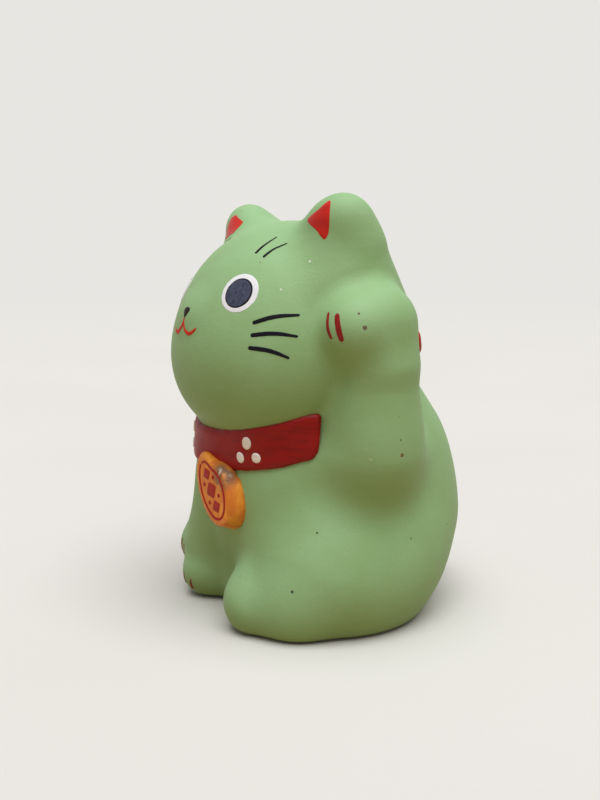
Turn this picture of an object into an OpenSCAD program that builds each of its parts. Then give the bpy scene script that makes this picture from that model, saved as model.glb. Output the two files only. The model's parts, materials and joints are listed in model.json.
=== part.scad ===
// Beckoning-cat figurine of painted, unglazed pressed clay, in millimetres.
// The cat sits facing -Y on z = 0, the origin is under the figure in the middle of its base.
// Two pressed half shells meet in one upright seam. The base disc closes them from below. The raised
// arm, collar runs, bow, coin and tail were made apart and are luted onto the shells.
// The soft form is one distance function, and every luted piece is cut to the same surface.

/* [Body] */
// Width of the seated body, flank to flank
body_w = 45; // [40:0.5:49]
// Depth of the seated body, chest hollow to back
body_d = 43.6; // [40:0.5:47]
// Distance between the centres of the two thighs
thigh_gap = 24.6; // [21:0.5:27]
// Reach of the hind foot beside the arm, in front of the origin
foot_reach = 12.8; // [11:0.5:15]
// Radius of the foreleg that the cat stands on
foreleg_r = 5.1; // [4.5:0.1:6]

/* [Head] */
// Width over the cheeks
cheek_w = 37.6; // [35:0.2:41]
// Height of the middle of the skull above the base
head_z = 51.4; // [49.5:0.1:53]
// Distance between the tips of the ears
ear_gap = 31; // [27:0.5:34]
// Rise of the ear tips above the middle of the skull
ear_rise = 14.8; // [13:0.2:16]

/* [Shell] */
// Least thickness of the pressed clay wall
wall = 3.2; // [2.5:0.1:4]
// Width of the rim around the base disc
rim_w = 4.5; // [3.5:0.25:5.5]

/* [Base disc] */
// Thickness of the disc that closes the figure
base_t = 3; // [2:0.25:4]
// Diameter of the firing vent through the disc
vent_d = 8; // [5:0.5:9]

/* [Raised arm] */
// Radius of the forearm and wrist
arm_r = 6.4; // [5.6:0.1:7]
// Radius of the elbow
elbow_r = 8; // [7.4:0.1:8.8]
// Height of the raised paw's centre above the base
paw_z = 50; // [48.5:0.25:52]
// How far the paw curls forward of the wrist
paw_curl = 4; // [3:0.25:6]

/* [Collar] */
// Width of the collar strip
collar_w = 6.8; // [5.5:0.2:7.4]
// Thickness of the collar strip
collar_t = 0.7; // [0.5:0.1:1.1]
// Height of the collar's middle at the throat
collar_front_z = 29.4; // [28.8:0.1:30.2]
// Height of the collar's middle at the nape
collar_nape_z = 44.6; // [43.8:0.1:45.4]

/* [Bow] */
// Distance between the ends of the two loops
bow_w = 21; // [18:0.5:22]
// Height of a loop at its fullest
bow_h = 6.4; // [5.4:0.2:7]
// How far a loop stands out from the nape
bow_t = 4.8; // [4:0.1:5.2]

/* [Coin] */
// Length of the oval coin
coin_l = 14.4; // [13:0.2:15.6]
// Width of the oval coin
coin_w = 9.6; // [8.6:0.2:10.6]
// Thickness of the coin at its rim
coin_t = 1.9; // [1.5:0.1:2.5]

/* [Tail] */
// Radius of the bob tail
tail_r = 4; // [3.4:0.1:4.6]

/* [Hidden] */

clay = "#8fbf8f";
slab = "#b98f6a";
red = "#9c1c14";
gold = "#c98a2c";

seam_y = 2;         // plane of the upright seam, and the axis that the form is measured from
crown_z = 48;       // above this height the rays fan out over the head
ring_step = 1.3;    // height of one ring below crown_z
fan_rings = 22;     // rings from crown_z to the pole
sector_turn = 5;    // turn of one sector of a half shell, outside, in degrees
core_turn = 10;     // turn of one sector of a half shell, inside, in degrees
half_sectors = round(180/sector_turn);
core_sectors = round(180/core_turn);
seat = 0.03;        // luting gap that keeps curved faces from biting into each other
fan_h = 25;         // height of the pole above crown_z
head_top = crown_z + fan_h;
farthest = 36;      // beyond every place on the skin, measured from the axis
nearest = 6;        // inside every place on the skin
disc_r = 17;        // the base disc reaches no farther than this from the axis
vent_y = 9;         // the vent lies behind the seam, clear of the figure's front
collar_from = 40;   // bearings of the collar's two ends, behind and in front of the raised arm
collar_to = 333;
neck_r = 15.5;      // radius of the neck under the bow
bow_lift = 1.6;     // rise of the loops' ends above the knot

body_c = [0, 7.2, 16.8];
body_s = [body_w/2, body_d/2, 20.2];
chest_c = [0, 0.3, 26.6];
chest_s = [16.3, 14.6, 17.2];
back_c = [3.6, 9.4, 27.7];
back_s = [14.9, 14.7, 13.5];
neck_top = [1.2, 5.4, 47];
neck_low = [1.2, 7.2, 37];
skull_c = [-0.2, -1.5, head_z];
skull_s = [cheek_w/2 - 0.1, 16.5, 15.1];
cheek_c = [0, -6, head_z - 8.3];
cheek_s = [cheek_w/2, 15.7, 14.3];
ear_lean = 0.031;   // the head leans a little: the far ear lies lower by this much per millimetre
ear_tip = [ear_gap/2, -1.2, head_z + ear_rise];
ear_front = [ear_gap/2 - 2.6, -2.3, head_z + ear_rise - 0.8];
ear_foot = [ear_gap/2 - 1.4, -0.6, head_z + 4.7];
ear_root = [ear_gap/4 - 0.8, -1.2, head_z + 8.7];
nape_top = [ear_gap/2 - 0.5, 1.1, head_z + 9.8];
nape_low = [11.4, 6.7, head_z - 5.4];
seat_c = [0, 2.9, 4.1];
seat_s = [18.9, 15.9, 9];
thigh_c = [thigh_gap/2, 1.8, 9.7];
thigh_s = [12.7, 16.7, 13.2];
foot_r = 6.2;
near_heel = [13, 3.7 - foot_reach, 4.9];
near_toe = [8.4, -foot_reach, 4.8];
far_heel = [-16.6, -9.3, 4.4];
far_heel_r = 4.3;
far_toe = [-17.2, -11.5, 7.6];
far_toe_r = 2.9;
shoulder = [-2.9, -9.4, 30];
shoulder_r = 7.2;
ankle = [-11, -11.1, foreleg_r + 4.4];
forepaw_c = [-11.1, -11.4, 4.5];
forepaw_s = [foreleg_r, foreleg_r + 0.7, 5.2];
back_y = body_c.y + body_d/2;
tail_root = [-0.5, back_y - 3.1, 7.6];
tail_end = [1, back_y - 0.5, 13.6];

elbow = [19.3, 1.8, 31];
forearm = [20.6, 1.4, 44];
wrist = [20.1, 1, paw_z + 0.2];
palm = [21, wrist.y - paw_curl, paw_z - 0.1];

// Smooth distance functions, all in millimetres
function blend(a, b, k) = let (h = max(k - abs(a - b), 0)) min(a, b) - h*h/(4*k);
function egg(p, c, s) =
  let (q = p - c, a = [q.x/s.x, q.y/s.y, q.z/s.z], n = norm(a))
  n*(n - 1)/max(norm([a.x/s.x, a.y/s.y, a.z/s.z]), 0.000001);
function limb(p, a, ra, b, rb) =
  let (d = b - a, t = max(0, min(1, (p - a)*d/(d*d)))) norm(p - a - t*d) - ra - (rb - ra)*t*t*(3 - 2*t);

function belly(p) = blend(egg(p, body_c, body_s), egg(p, chest_c, chest_s), 10);
function trunk(p) =
  blend(blend(blend(belly(p), egg(p, seat_c, seat_s), 3), egg(p, back_c, back_s), 6),
        limb(p, neck_top, 8.6, neck_low, 12.2), 5);
function skull(p) = blend(egg(p, skull_c, skull_s), egg(p, cheek_c, cheek_s), 8);
function ears(q) =
  blend(blend(limb(q, ear_foot, 5.9, ear_front, 3.3), limb(q, ear_tip, 3.5, ear_root, 4.2), 4),
        limb(q, nape_top, 4.5, nape_low, 7.8), 5);
function thighs(q) = egg(q, thigh_c, thigh_s);
function feet(p) =
  blend(limb(p, near_heel, foot_r + 0.6, near_toe, foot_r),
        limb(p, far_heel, far_heel_r, far_toe, far_toe_r), 3);
function foreleg(p) =
  blend(limb(p, shoulder, shoulder_r, ankle, foreleg_r), egg(p, forepaw_c, forepaw_s), 1.3);
function hollow_form(p) =
  blend(blend(trunk(p), skull(p), 5), thighs([abs(p.x), p.y, p.z]), 5) + wall;
function figure(p) =
  let (q = [abs(p.x), p.y, p.z], e = [abs(p.x), p.y, p.z - ear_lean*p.x])
  let (head = p.z < 34 ? skull(p) : blend(skull(p), ears(e), 5))
  let (seated = blend(trunk(p), head, 2.5))
  p.z > 38 ? seated
  : blend(blend(blend(seated, thighs(q), 5), feet(p), 3.5), foreleg(p), 2.5);
function arm_form(p) =
  blend(blend(limb(p, elbow, elbow_r, forearm, arm_r), limb(p, forearm, arm_r, wrist, arm_r - 0.4), 1),
        limb(p, wrist, arm_r - 0.4, palm, arm_r - 0.9), 3);
function tail_form(p) = limb(p, tail_root, tail_r + 0.4, tail_end, tail_r - 0.6);

// A place on a ring: rings below crown_z are level, those above it fan out from the crown's centre
function origin(s) = [0, seam_y, min(s, crown_z)];
function lift(s) = max(0, s - crown_z)*90/(head_top - crown_z);
function aim(s, a) = [cos(a)*cos(lift(s)), sin(a)*cos(lift(s)), sin(lift(s))];
function reach(f, o, d, lo, hi, n) =
  n == 0 ? (lo + hi)/2
  : let (m = (lo + hi)/2) f(o + m*d) < 0 ? reach(f, o, d, m, hi, n - 1) : reach(f, o, d, lo, m, n - 1);
function skin_r(s, a) = reach(function (p) figure(p), origin(s), aim(s, a), nearest, farthest, 12);
function core_r(s, a) = reach(function (p) hollow_form(p), origin(s), aim(s, a), 1, farthest, 12);
function at(s, a, r) = origin(s) + r*aim(s, a);
function rim_r(a) = min(skin_r(0, a) - rim_w, disc_r);

skin_rings = concat([for (z = [0:ring_step:crown_z - ring_step/2]) z],
                    [for (i = [0:fan_rings - 1]) crown_z + i*(head_top - crown_z)/fan_rings]);
core_rings = concat([for (z = [base_t:3.2:crown_z - 2]) z],
                    [for (i = [0:6]) crown_z + i*(head_top - crown_z)/7]);

// Each four-cornered face as two triangles
function halves(quads) = [for (q = quads) each [[q[0], q[1], q[2]], [q[0], q[2], q[3]]]];
// Faces between neighbouring rows of points, wound so that their outer side faces away
function strip(first, cols, rows) =
  halves([for (i = [0:rows - 2], j = [0:cols - 2])
            let (a = first + i*cols + j) [a, a + cols, a + cols + 1, a + 1]]);
function flip(faces) = [for (f = faces) [for (i = [len(f) - 1:-1:0]) f[i]]];
// Triangles between two lines of points that run side by side, each with its own stations along the way
function stitch(a, at_a, b, at_b, i = 0, j = 0) =
  i == len(a) - 1 && j == len(b) - 1 ? []
  : j == len(b) - 1 || (i < len(a) - 1 && at_a[i + 1] <= at_b[j + 1])
    ? concat([[a[i], a[i + 1], b[j]]], stitch(a, at_a, b, at_b, i + 1, j))
    : concat([[a[i], b[j + 1], b[j]]], stitch(a, at_a, b, at_b, i, j + 1));

// One pressed half: outer skin, inner hollow, base rim and the flat seam face between them
module half_shell(from) {
  n = half_sectors + 1;
  m = core_sectors + 1;
  skin = [for (s = skin_rings, j = [0:half_sectors])
            let (a = from + j*180/half_sectors) at(s, a, skin_r(s, a))];
  core = concat(
    [for (z = [0, base_t], j = [0:core_sectors])
       let (a = from + j*180/core_sectors) at(z, a, rim_r(a))],
    [for (s = core_rings, j = [0:core_sectors])
       let (a = from + j*180/core_sectors) at(s, a, core_r(s, a))]);
  top = at(head_top, from, skin_r(head_top, from));
  core_top = at(head_top, from, core_r(head_top, from));
  rows = len(skin_rings);
  core_rows = len(core_rings) + 2;
  c = rows*n;
  pole = c + core_rows*m;
  last = c + (core_rows - 1)*m;
  skin_at = concat(skin_rings, [head_top]);
  core_at = concat([0, base_t], core_rings, [head_top]);
  rim = stitch([for (j = [0:n - 1]) j], [for (j = [0:n - 1]) j/(n - 1)],
               [for (j = [0:m - 1]) c + j], [for (j = [0:m - 1]) j/(m - 1)]);
  seam_a = stitch(concat([for (i = [0:rows - 1]) i*n], [pole]), skin_at,
                  concat([for (i = [0:core_rows - 1]) c + i*m], [pole + 1]), core_at);
  seam_b = stitch(concat([for (i = [0:rows - 1]) i*n + n - 1], [pole]), skin_at,
                  concat([for (i = [0:core_rows - 1]) c + i*m + m - 1], [pole + 1]), core_at);
  faces = concat(
    strip(0, n, rows), [for (j = [0:n - 2]) [(rows - 1)*n + j, pole, (rows - 1)*n + j + 1]],
    flip(strip(c, m, core_rows)), [for (j = [0:m - 2]) [last + j + 1, pole + 1, last + j]],
    rim, flip(seam_a), seam_b);
  polyhedron(points = concat(skin, core, [top, core_top]), faces = faces);
}

module front_shell() color(clay) half_shell(180);
module back_shell() color(clay) half_shell(0);

// Closes the rims from below and lies in their recess, with a drilled vent
module base_disc() color(slab)
  difference() {
    linear_extrude(base_t)
      polygon([for (j = [0:2*core_sectors - 1])
                 let (a = j*180/core_sectors) [rim_r(a)*cos(a), seam_y + rim_r(a)*sin(a)]]);
    translate([0, vent_y, -1]) cylinder(d = vent_d, h = base_t + 2, $fn = 48);
  }

// A luted lump: the part of form f that stands proud of the shell, between heights s0 and s1
function edge_a(f, s, a, turn, n) =
  n == 0 ? a
  : let (b = a + turn/2, next = f(at(s, b, skin_r(s, b))) < 0 ? b : a) edge_a(f, s, next, turn/2, n - 1);
function edge_s(f, mid, s, turn, n) =
  n == 0 ? s
  : let (b = s + turn/2, next = f(at(b, mid(b), skin_r(b, mid(b)))) < 0 ? b : s)
    edge_s(f, mid, next, turn/2, n - 1);
module luted(f, mid, s, rows, cols) {
  s0 = edge_s(f, mid, s, -min(s, 30), 8);
  s1 = edge_s(f, mid, s, 30, 8);
  levels = [for (i = [0:rows - 1]) s0 + (s1 - s0)*(1 - cos(i*180/(rows - 1)))/2];
  spans = [for (s = levels) [edge_a(f, s, mid(s), -60, 7) - 0.5, edge_a(f, s, mid(s), 60, 7) + 0.5]];
  places = [for (i = [0:rows - 1], j = [0:cols - 1])
              [levels[i], spans[i][0] + (spans[i][1] - spans[i][0])*(1 - cos(j*180/(cols - 1)))/2]];
  low = [for (q = places) skin_r(q[0], q[1]) + seat];
  high = [for (k = [0:len(places) - 1])
            let (q = places[k])
            max(low[k] + 0.15, reach(f, origin(q[0]), aim(q[0], q[1]), low[k], farthest + 4, 12))];
  sheet(places, low, high, rows, cols);
}

// Closed solid between two radii over one grid of places
module sheet(places, low, high, rows, cols) {
  n = rows*cols;
  end = (rows - 1)*cols;
  points = concat([for (k = [0:n - 1]) at(places[k][0], places[k][1], high[k])],
                  [for (k = [0:n - 1]) at(places[k][0], places[k][1], low[k])]);
  faces = concat(
    strip(0, cols, rows), flip(strip(n, cols, rows)),
    halves([for (j = [0:cols - 2]) [j, j + 1, n + j + 1, n + j]]),
    halves([for (j = [0:cols - 2]) [end + j + 1, end + j, n + end + j, n + end + j + 1]]),
    halves([for (i = [0:rows - 2]) [(i + 1)*cols, i*cols, n + i*cols, n + (i + 1)*cols]]),
    halves([for (i = [0:rows - 2]) let (k = i*cols + cols - 1) [k, k + cols, n + k + cols, n + k]]));
  polyhedron(points = points, faces = faces);
}

function bearing(p) = atan2(p.y - seam_y, p.x);
function arm_mid(s) =
  let (up = max(0, min(1, (s - elbow.z)/(forearm.z - elbow.z))), t = max(0, min(1, (s - forearm.z)/5)))
  bearing(elbow + up*(forearm - elbow))*(1 - t) + (bearing(wrist) + bearing(palm))/2*t;
module raised_arm() color(clay)
  luted(function (p) arm_form(p), function (s) arm_mid(s), 40, 28, 19);

module bob_tail() color(clay)
  luted(function (p) tail_form(p), function (s) 90, 9, 13, 13);

// The collar: a strip that follows the tilt of the neck and stops on both sides of the raised arm
function collar_z(a) = collar_front_z + (collar_nape_z - collar_front_z)*(1 + sin(a))/2;
module collar() color(red) {
  cols = ceil((collar_to - collar_from)/sector_turn) + 1;
  rows = 7;
  places = [for (i = [0:rows - 1], j = [0:cols - 1])
              let (a = min(collar_from + sector_turn*j, collar_to))
              [collar_z(a) + (i/(rows - 1) - 0.5)*collar_w, a]];
  low = [for (q = places) skin_r(q[0], q[1]) + 3*seat];
  high = [for (k = [0:len(places) - 1])
            low[k] + (k < cols || k >= (rows - 1)*cols ? 0.6 : 1)*(collar_t - seat)];
  sheet(places, low, high, rows, cols);
}

// A flat bow with a knot and two loops, pressed onto the collar at the nape
function bow_knot(u) = cos(90*min(1, u/0.22));
function bow_loop(u) = sin(180*pow(max(0, u - 0.22)/0.78, 1.4));
module nape_bow() color(red) {
  cols = 31;
  rows = 7;
  half = atan2(bow_w/2, neck_r);
  places = [for (i = [0:rows - 1], j = [0:cols - 1])
              let (u = abs(2*j/(cols - 1) - 1), tall = 0.22 + 0.16*bow_knot(u) + 0.28*bow_loop(u))
              [collar_nape_z + bow_lift*u + (i/(rows - 1) - 0.5)*bow_h*tall*2,
               90 - half + 2*half*j/(cols - 1)]];
  low = [for (q = places) skin_r(q[0], q[1]) + collar_t + 4*seat];
  high = [for (i = [0:rows - 1], j = [0:cols - 1])
            let (u = abs(2*j/(cols - 1) - 1), v = 2*i/(rows - 1) - 1,
                 full = 0.3 + 0.8*bow_knot(u) + 0.7*bow_loop(u))
            low[i*cols + j] + bow_t*full*(0.25 + 0.75*sqrt(1 - v*v))];
  sheet(places, low, high, rows, cols);
}

// Oval coin on the chest, face forward. Its back is cut to the chest and over the collar's lower edge,
// and the coin lies against them where its rim comes nearest, with coin_edge of clay left there.
coin_hang = [2.1, -17.2, 23];
coin_n = [0.1, -0.994, 0.05];
coin_v = [-0.548, -0.013, 0.836];
coin_u = cross(coin_v, coin_n)/norm(cross(coin_v, coin_n));
coin_edge = 0.36*coin_t;
coin_crown = 0.5;
coin_trim = 0.27;   // share cut off the oval at its upper corner, beside the collar
coin_cols = 28;
function coin_floor(p) =
  figure(p) - seat - collar_t*max(0, min(1, (p.z - collar_z(bearing(p)) + collar_w/2 + 1.8)/1.5));
function coin_r(a) = 1 - coin_trim*exp(-pow(((a + 128) % 360 - 180)/34, 2));
function coin_place(r, a) =
  coin_hang + r*coin_r(a)*(coin_w/2*cos(a)*coin_u + coin_l/2*sin(a)*coin_v);
function coin_depth(p) =
  reach(function (q) -coin_floor(q), p, -coin_n, -coin_l/2, coin_l*2/3, 12);
module coin() color(gold) {
  rows = 5;
  cols = coin_cols;
  depths = [for (r = [0.6, 0.8, 1], j = [0:cols - 1]) coin_depth(coin_place(r, j*360/cols))];
  stand = coin_edge - min(depths);
  place = function (i, j) coin_place(i/rows, j*360/cols) + stand*coin_n;
  front = [for (i = [1:rows], j = [0:cols - 1])
             place(i, j) + coin_n*(i == rows ? -coin_edge/2 : coin_crown*(1 - 0.25*i*i/(rows*rows)))];
  rear = [for (i = [1:rows], j = [0:cols - 1]) let (p = place(i, j)) p - coin_n*coin_depth(p)];
  n = rows*cols;
  ring = function (base, i) halves([for (j = [0:cols - 1])
    let (k = base + i*cols, t = (j + 1) % cols) [k + j, k + t, k + cols + t, k + cols + j]]);
  polyhedron(
    points = concat(front, rear, [place(0, 0) + coin_crown*coin_n,
                                  place(0, 0) - coin_n*coin_depth(place(0, 0))]),
    faces = concat(
      [for (i = [0:rows - 2]) each ring(0, i)], flip([for (i = [0:rows - 2]) each ring(n, i)]),
      [for (j = [0:cols - 1]) [2*n, (j + 1) % cols, j]],
      [for (j = [0:cols - 1]) [2*n + 1, n + j, n + (j + 1) % cols]],
      halves([for (j = [0:cols - 1]) let (k = n - cols, t = (j + 1) % cols)
                [k + j, k + t, n + k + t, n + k + j]])));
}

front_shell();
back_shell();
base_disc();
raised_arm();
collar();
nape_bow();
coin();
bob_tail();
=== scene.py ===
"""Looks of a painted clay beckoning-cat figurine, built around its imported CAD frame.

The cat sits facing -Y and raises its left paw, on the +X side. Sizes here are in millimetres in that
frame, and become metres where a mesh is written. The pressed-clay skin is one smooth distance form,
the same one that the CAD shells are cut to. Everything painted on it is a thin film of its own.
"""

import json
import logging
import math
from dataclasses import dataclass, field
from enum import Enum
from functools import partial
from typing import Callable, Sequence

import bpy
import numpy as np
from mathutils import Matrix, Vector, noise
from mathutils.bvhtree import BVHTree

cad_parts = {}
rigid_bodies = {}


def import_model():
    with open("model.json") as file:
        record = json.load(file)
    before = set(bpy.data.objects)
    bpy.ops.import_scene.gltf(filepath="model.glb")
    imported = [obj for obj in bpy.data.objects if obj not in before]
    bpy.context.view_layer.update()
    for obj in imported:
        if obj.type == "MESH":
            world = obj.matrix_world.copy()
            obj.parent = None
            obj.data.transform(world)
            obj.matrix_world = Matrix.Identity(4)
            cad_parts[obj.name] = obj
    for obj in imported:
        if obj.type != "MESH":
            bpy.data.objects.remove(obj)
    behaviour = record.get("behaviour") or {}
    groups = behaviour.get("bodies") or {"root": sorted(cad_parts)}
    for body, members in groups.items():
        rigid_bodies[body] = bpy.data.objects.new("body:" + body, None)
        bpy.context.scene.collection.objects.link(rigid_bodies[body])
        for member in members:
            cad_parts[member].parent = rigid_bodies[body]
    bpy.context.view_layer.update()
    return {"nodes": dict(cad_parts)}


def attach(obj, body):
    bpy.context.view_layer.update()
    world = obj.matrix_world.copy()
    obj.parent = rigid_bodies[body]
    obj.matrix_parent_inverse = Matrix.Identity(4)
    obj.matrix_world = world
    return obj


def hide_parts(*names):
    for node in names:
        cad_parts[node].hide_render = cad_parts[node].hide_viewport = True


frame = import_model()
LOG = logging.getLogger("cat")

Triple = tuple[float, float, float]
Pair = tuple[float, float]
Path = Sequence[Pair] | np.ndarray
Shape = Callable[[np.ndarray], np.ndarray]

METRE = 1000.0  # millimetres in a metre
PHOTO_W = 600
PHOTO_H = 800
LONG_SIDE = max(PHOTO_W, PHOTO_H)
MERGE = 0.002  # vertices of a CAD mesh closer than this are one

# Places in the photograph's frame: the middle of what shows of each thing, and the object's four edges
IMAGE_POINTS: dict[str, Pair] = {
    "edge_left": (169, 350),
    "edge_right": (457, 500),
    "edge_top": (345, 192),
    "edge_bottom": (300, 640),
    "near_eye": (240, 293),
    "far_eye": (188, 287),
    "nose": (187, 313),
    "mouth": (186, 326),
    "brow_marks": (270, 247),
    "whiskers": (274, 336),
    "near_ear_red": (320, 220),
    "far_ear_red": (234, 227),
    "paw_strokes": (335, 327),
    "collar": (258, 444),
    "collar_dots": (249, 451),
    "coin": (220, 490),
    "forepaw_claw": (191, 585),
    "far_foot_claw": (184, 550),
    "nape_bow": (419, 340),
}


# The pieces that stand for each image point, apart from the four edges
SHOWN: dict[str, list[str]] = {
    "near_eye": ["eye_white_near"],
    "far_eye": ["eye_white_far"],
    "nose": ["nose"],
    "mouth": ["mouth_near", "mouth_far"],
    "brow_marks": ["brow_near_0", "brow_near_1"],
    "whiskers": ["whisker_near_0", "whisker_near_1", "whisker_near_2"],
    "near_ear_red": ["ear_red_near"],
    "far_ear_red": ["ear_red_far"],
    "paw_strokes": ["raised_paw_stroke_0", "raised_paw_stroke_1"],
    "collar": ["collar_painted"],
    "collar_dots": ["collar_dots_0"],
    "coin": ["coin_gilded"],
    "forepaw_claw": ["forepaw_claw_0"],
    "far_foot_claw": ["far_foot_claw_0"],
    "nape_bow": ["nape_bow_painted"],
}


class Role(Enum):
    """Names of the record's material slots."""

    GREEN = "green_clay"
    RED = "red_paint"
    GOLD = "gold_paint"


class Flank(Enum):
    """The side of the cat that a piece lies on. NEAR is the side of the raised arm."""

    NEAR = 1
    FAR = -1


def array(values: Triple | Vector) -> np.ndarray:
    """The three numbers as an array of floats."""
    return np.array(tuple(values), float)


def ease(share: np.ndarray) -> np.ndarray:
    """A share from 0 to 1 that starts and ends gently."""
    return share * share * (3 - 2 * share)


def last_true(low: np.ndarray, high: np.ndarray, test: Callable[[np.ndarray], np.ndarray],
              turns: int) -> np.ndarray:
    """Closes in on the largest values that still pass a test.

    Args:
        low: Values that pass.
        high: Values that fail.
        test: Says for each value whether it passes.
        turns: How many times the gap is halved.

    Returns:
        The values.
    """
    for _ in range(turns):
        middle = (low + high) / 2
        passed = test(middle)
        low, high = np.where(passed, middle, low), np.where(passed, high, middle)
    return low


def blend(a: np.ndarray, b: np.ndarray, soft: float | np.ndarray) -> np.ndarray:
    """Joins two distance fields with a fillet.

    Args:
        a: Distances to the first form.
        b: Distances to the second form.
        soft: How far the fillet reaches, in millimetres.

    Returns:
        Distances to both forms together.
    """
    near = np.maximum(soft - np.abs(a - b), 0)
    return np.minimum(a, b) - near * near / (4 * soft)


def outward(bearings: np.ndarray) -> np.ndarray:
    """Level unit directions for bearings in radians, counted from +X."""
    return np.stack((np.cos(bearings), np.sin(bearings), 0 * bearings), 1)


@dataclass(frozen=True)
class Egg:
    """A rounded mass of clay, by its centre and half sizes."""

    centre: Triple
    half: Triple

    def distance(self, points: np.ndarray) -> np.ndarray:
        """Signed distance of each point to the egg, negative inside."""
        half = array(self.half)
        share = (points - array(self.centre)) / half
        size = np.linalg.norm(share, axis=1)
        return size * (size - 1) / np.maximum(np.linalg.norm(share / half, axis=1), 1e-6)


@dataclass(frozen=True)
class Limb:
    """A rolled limb of clay between two places, with a radius at each."""

    start: Triple
    start_r: float
    end: Triple
    end_r: float

    def distance(self, points: np.ndarray) -> np.ndarray:
        """Signed distance of each point to the limb, negative inside."""
        way = array(self.end) - array(self.start)
        rel = points - array(self.start)
        share = np.clip(rel @ way / (way @ way), 0, 1)
        radius = self.start_r + (self.end_r - self.start_r) * ease(share)
        return np.linalg.norm(rel - share[:, None] * way, axis=1) - radius


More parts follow.
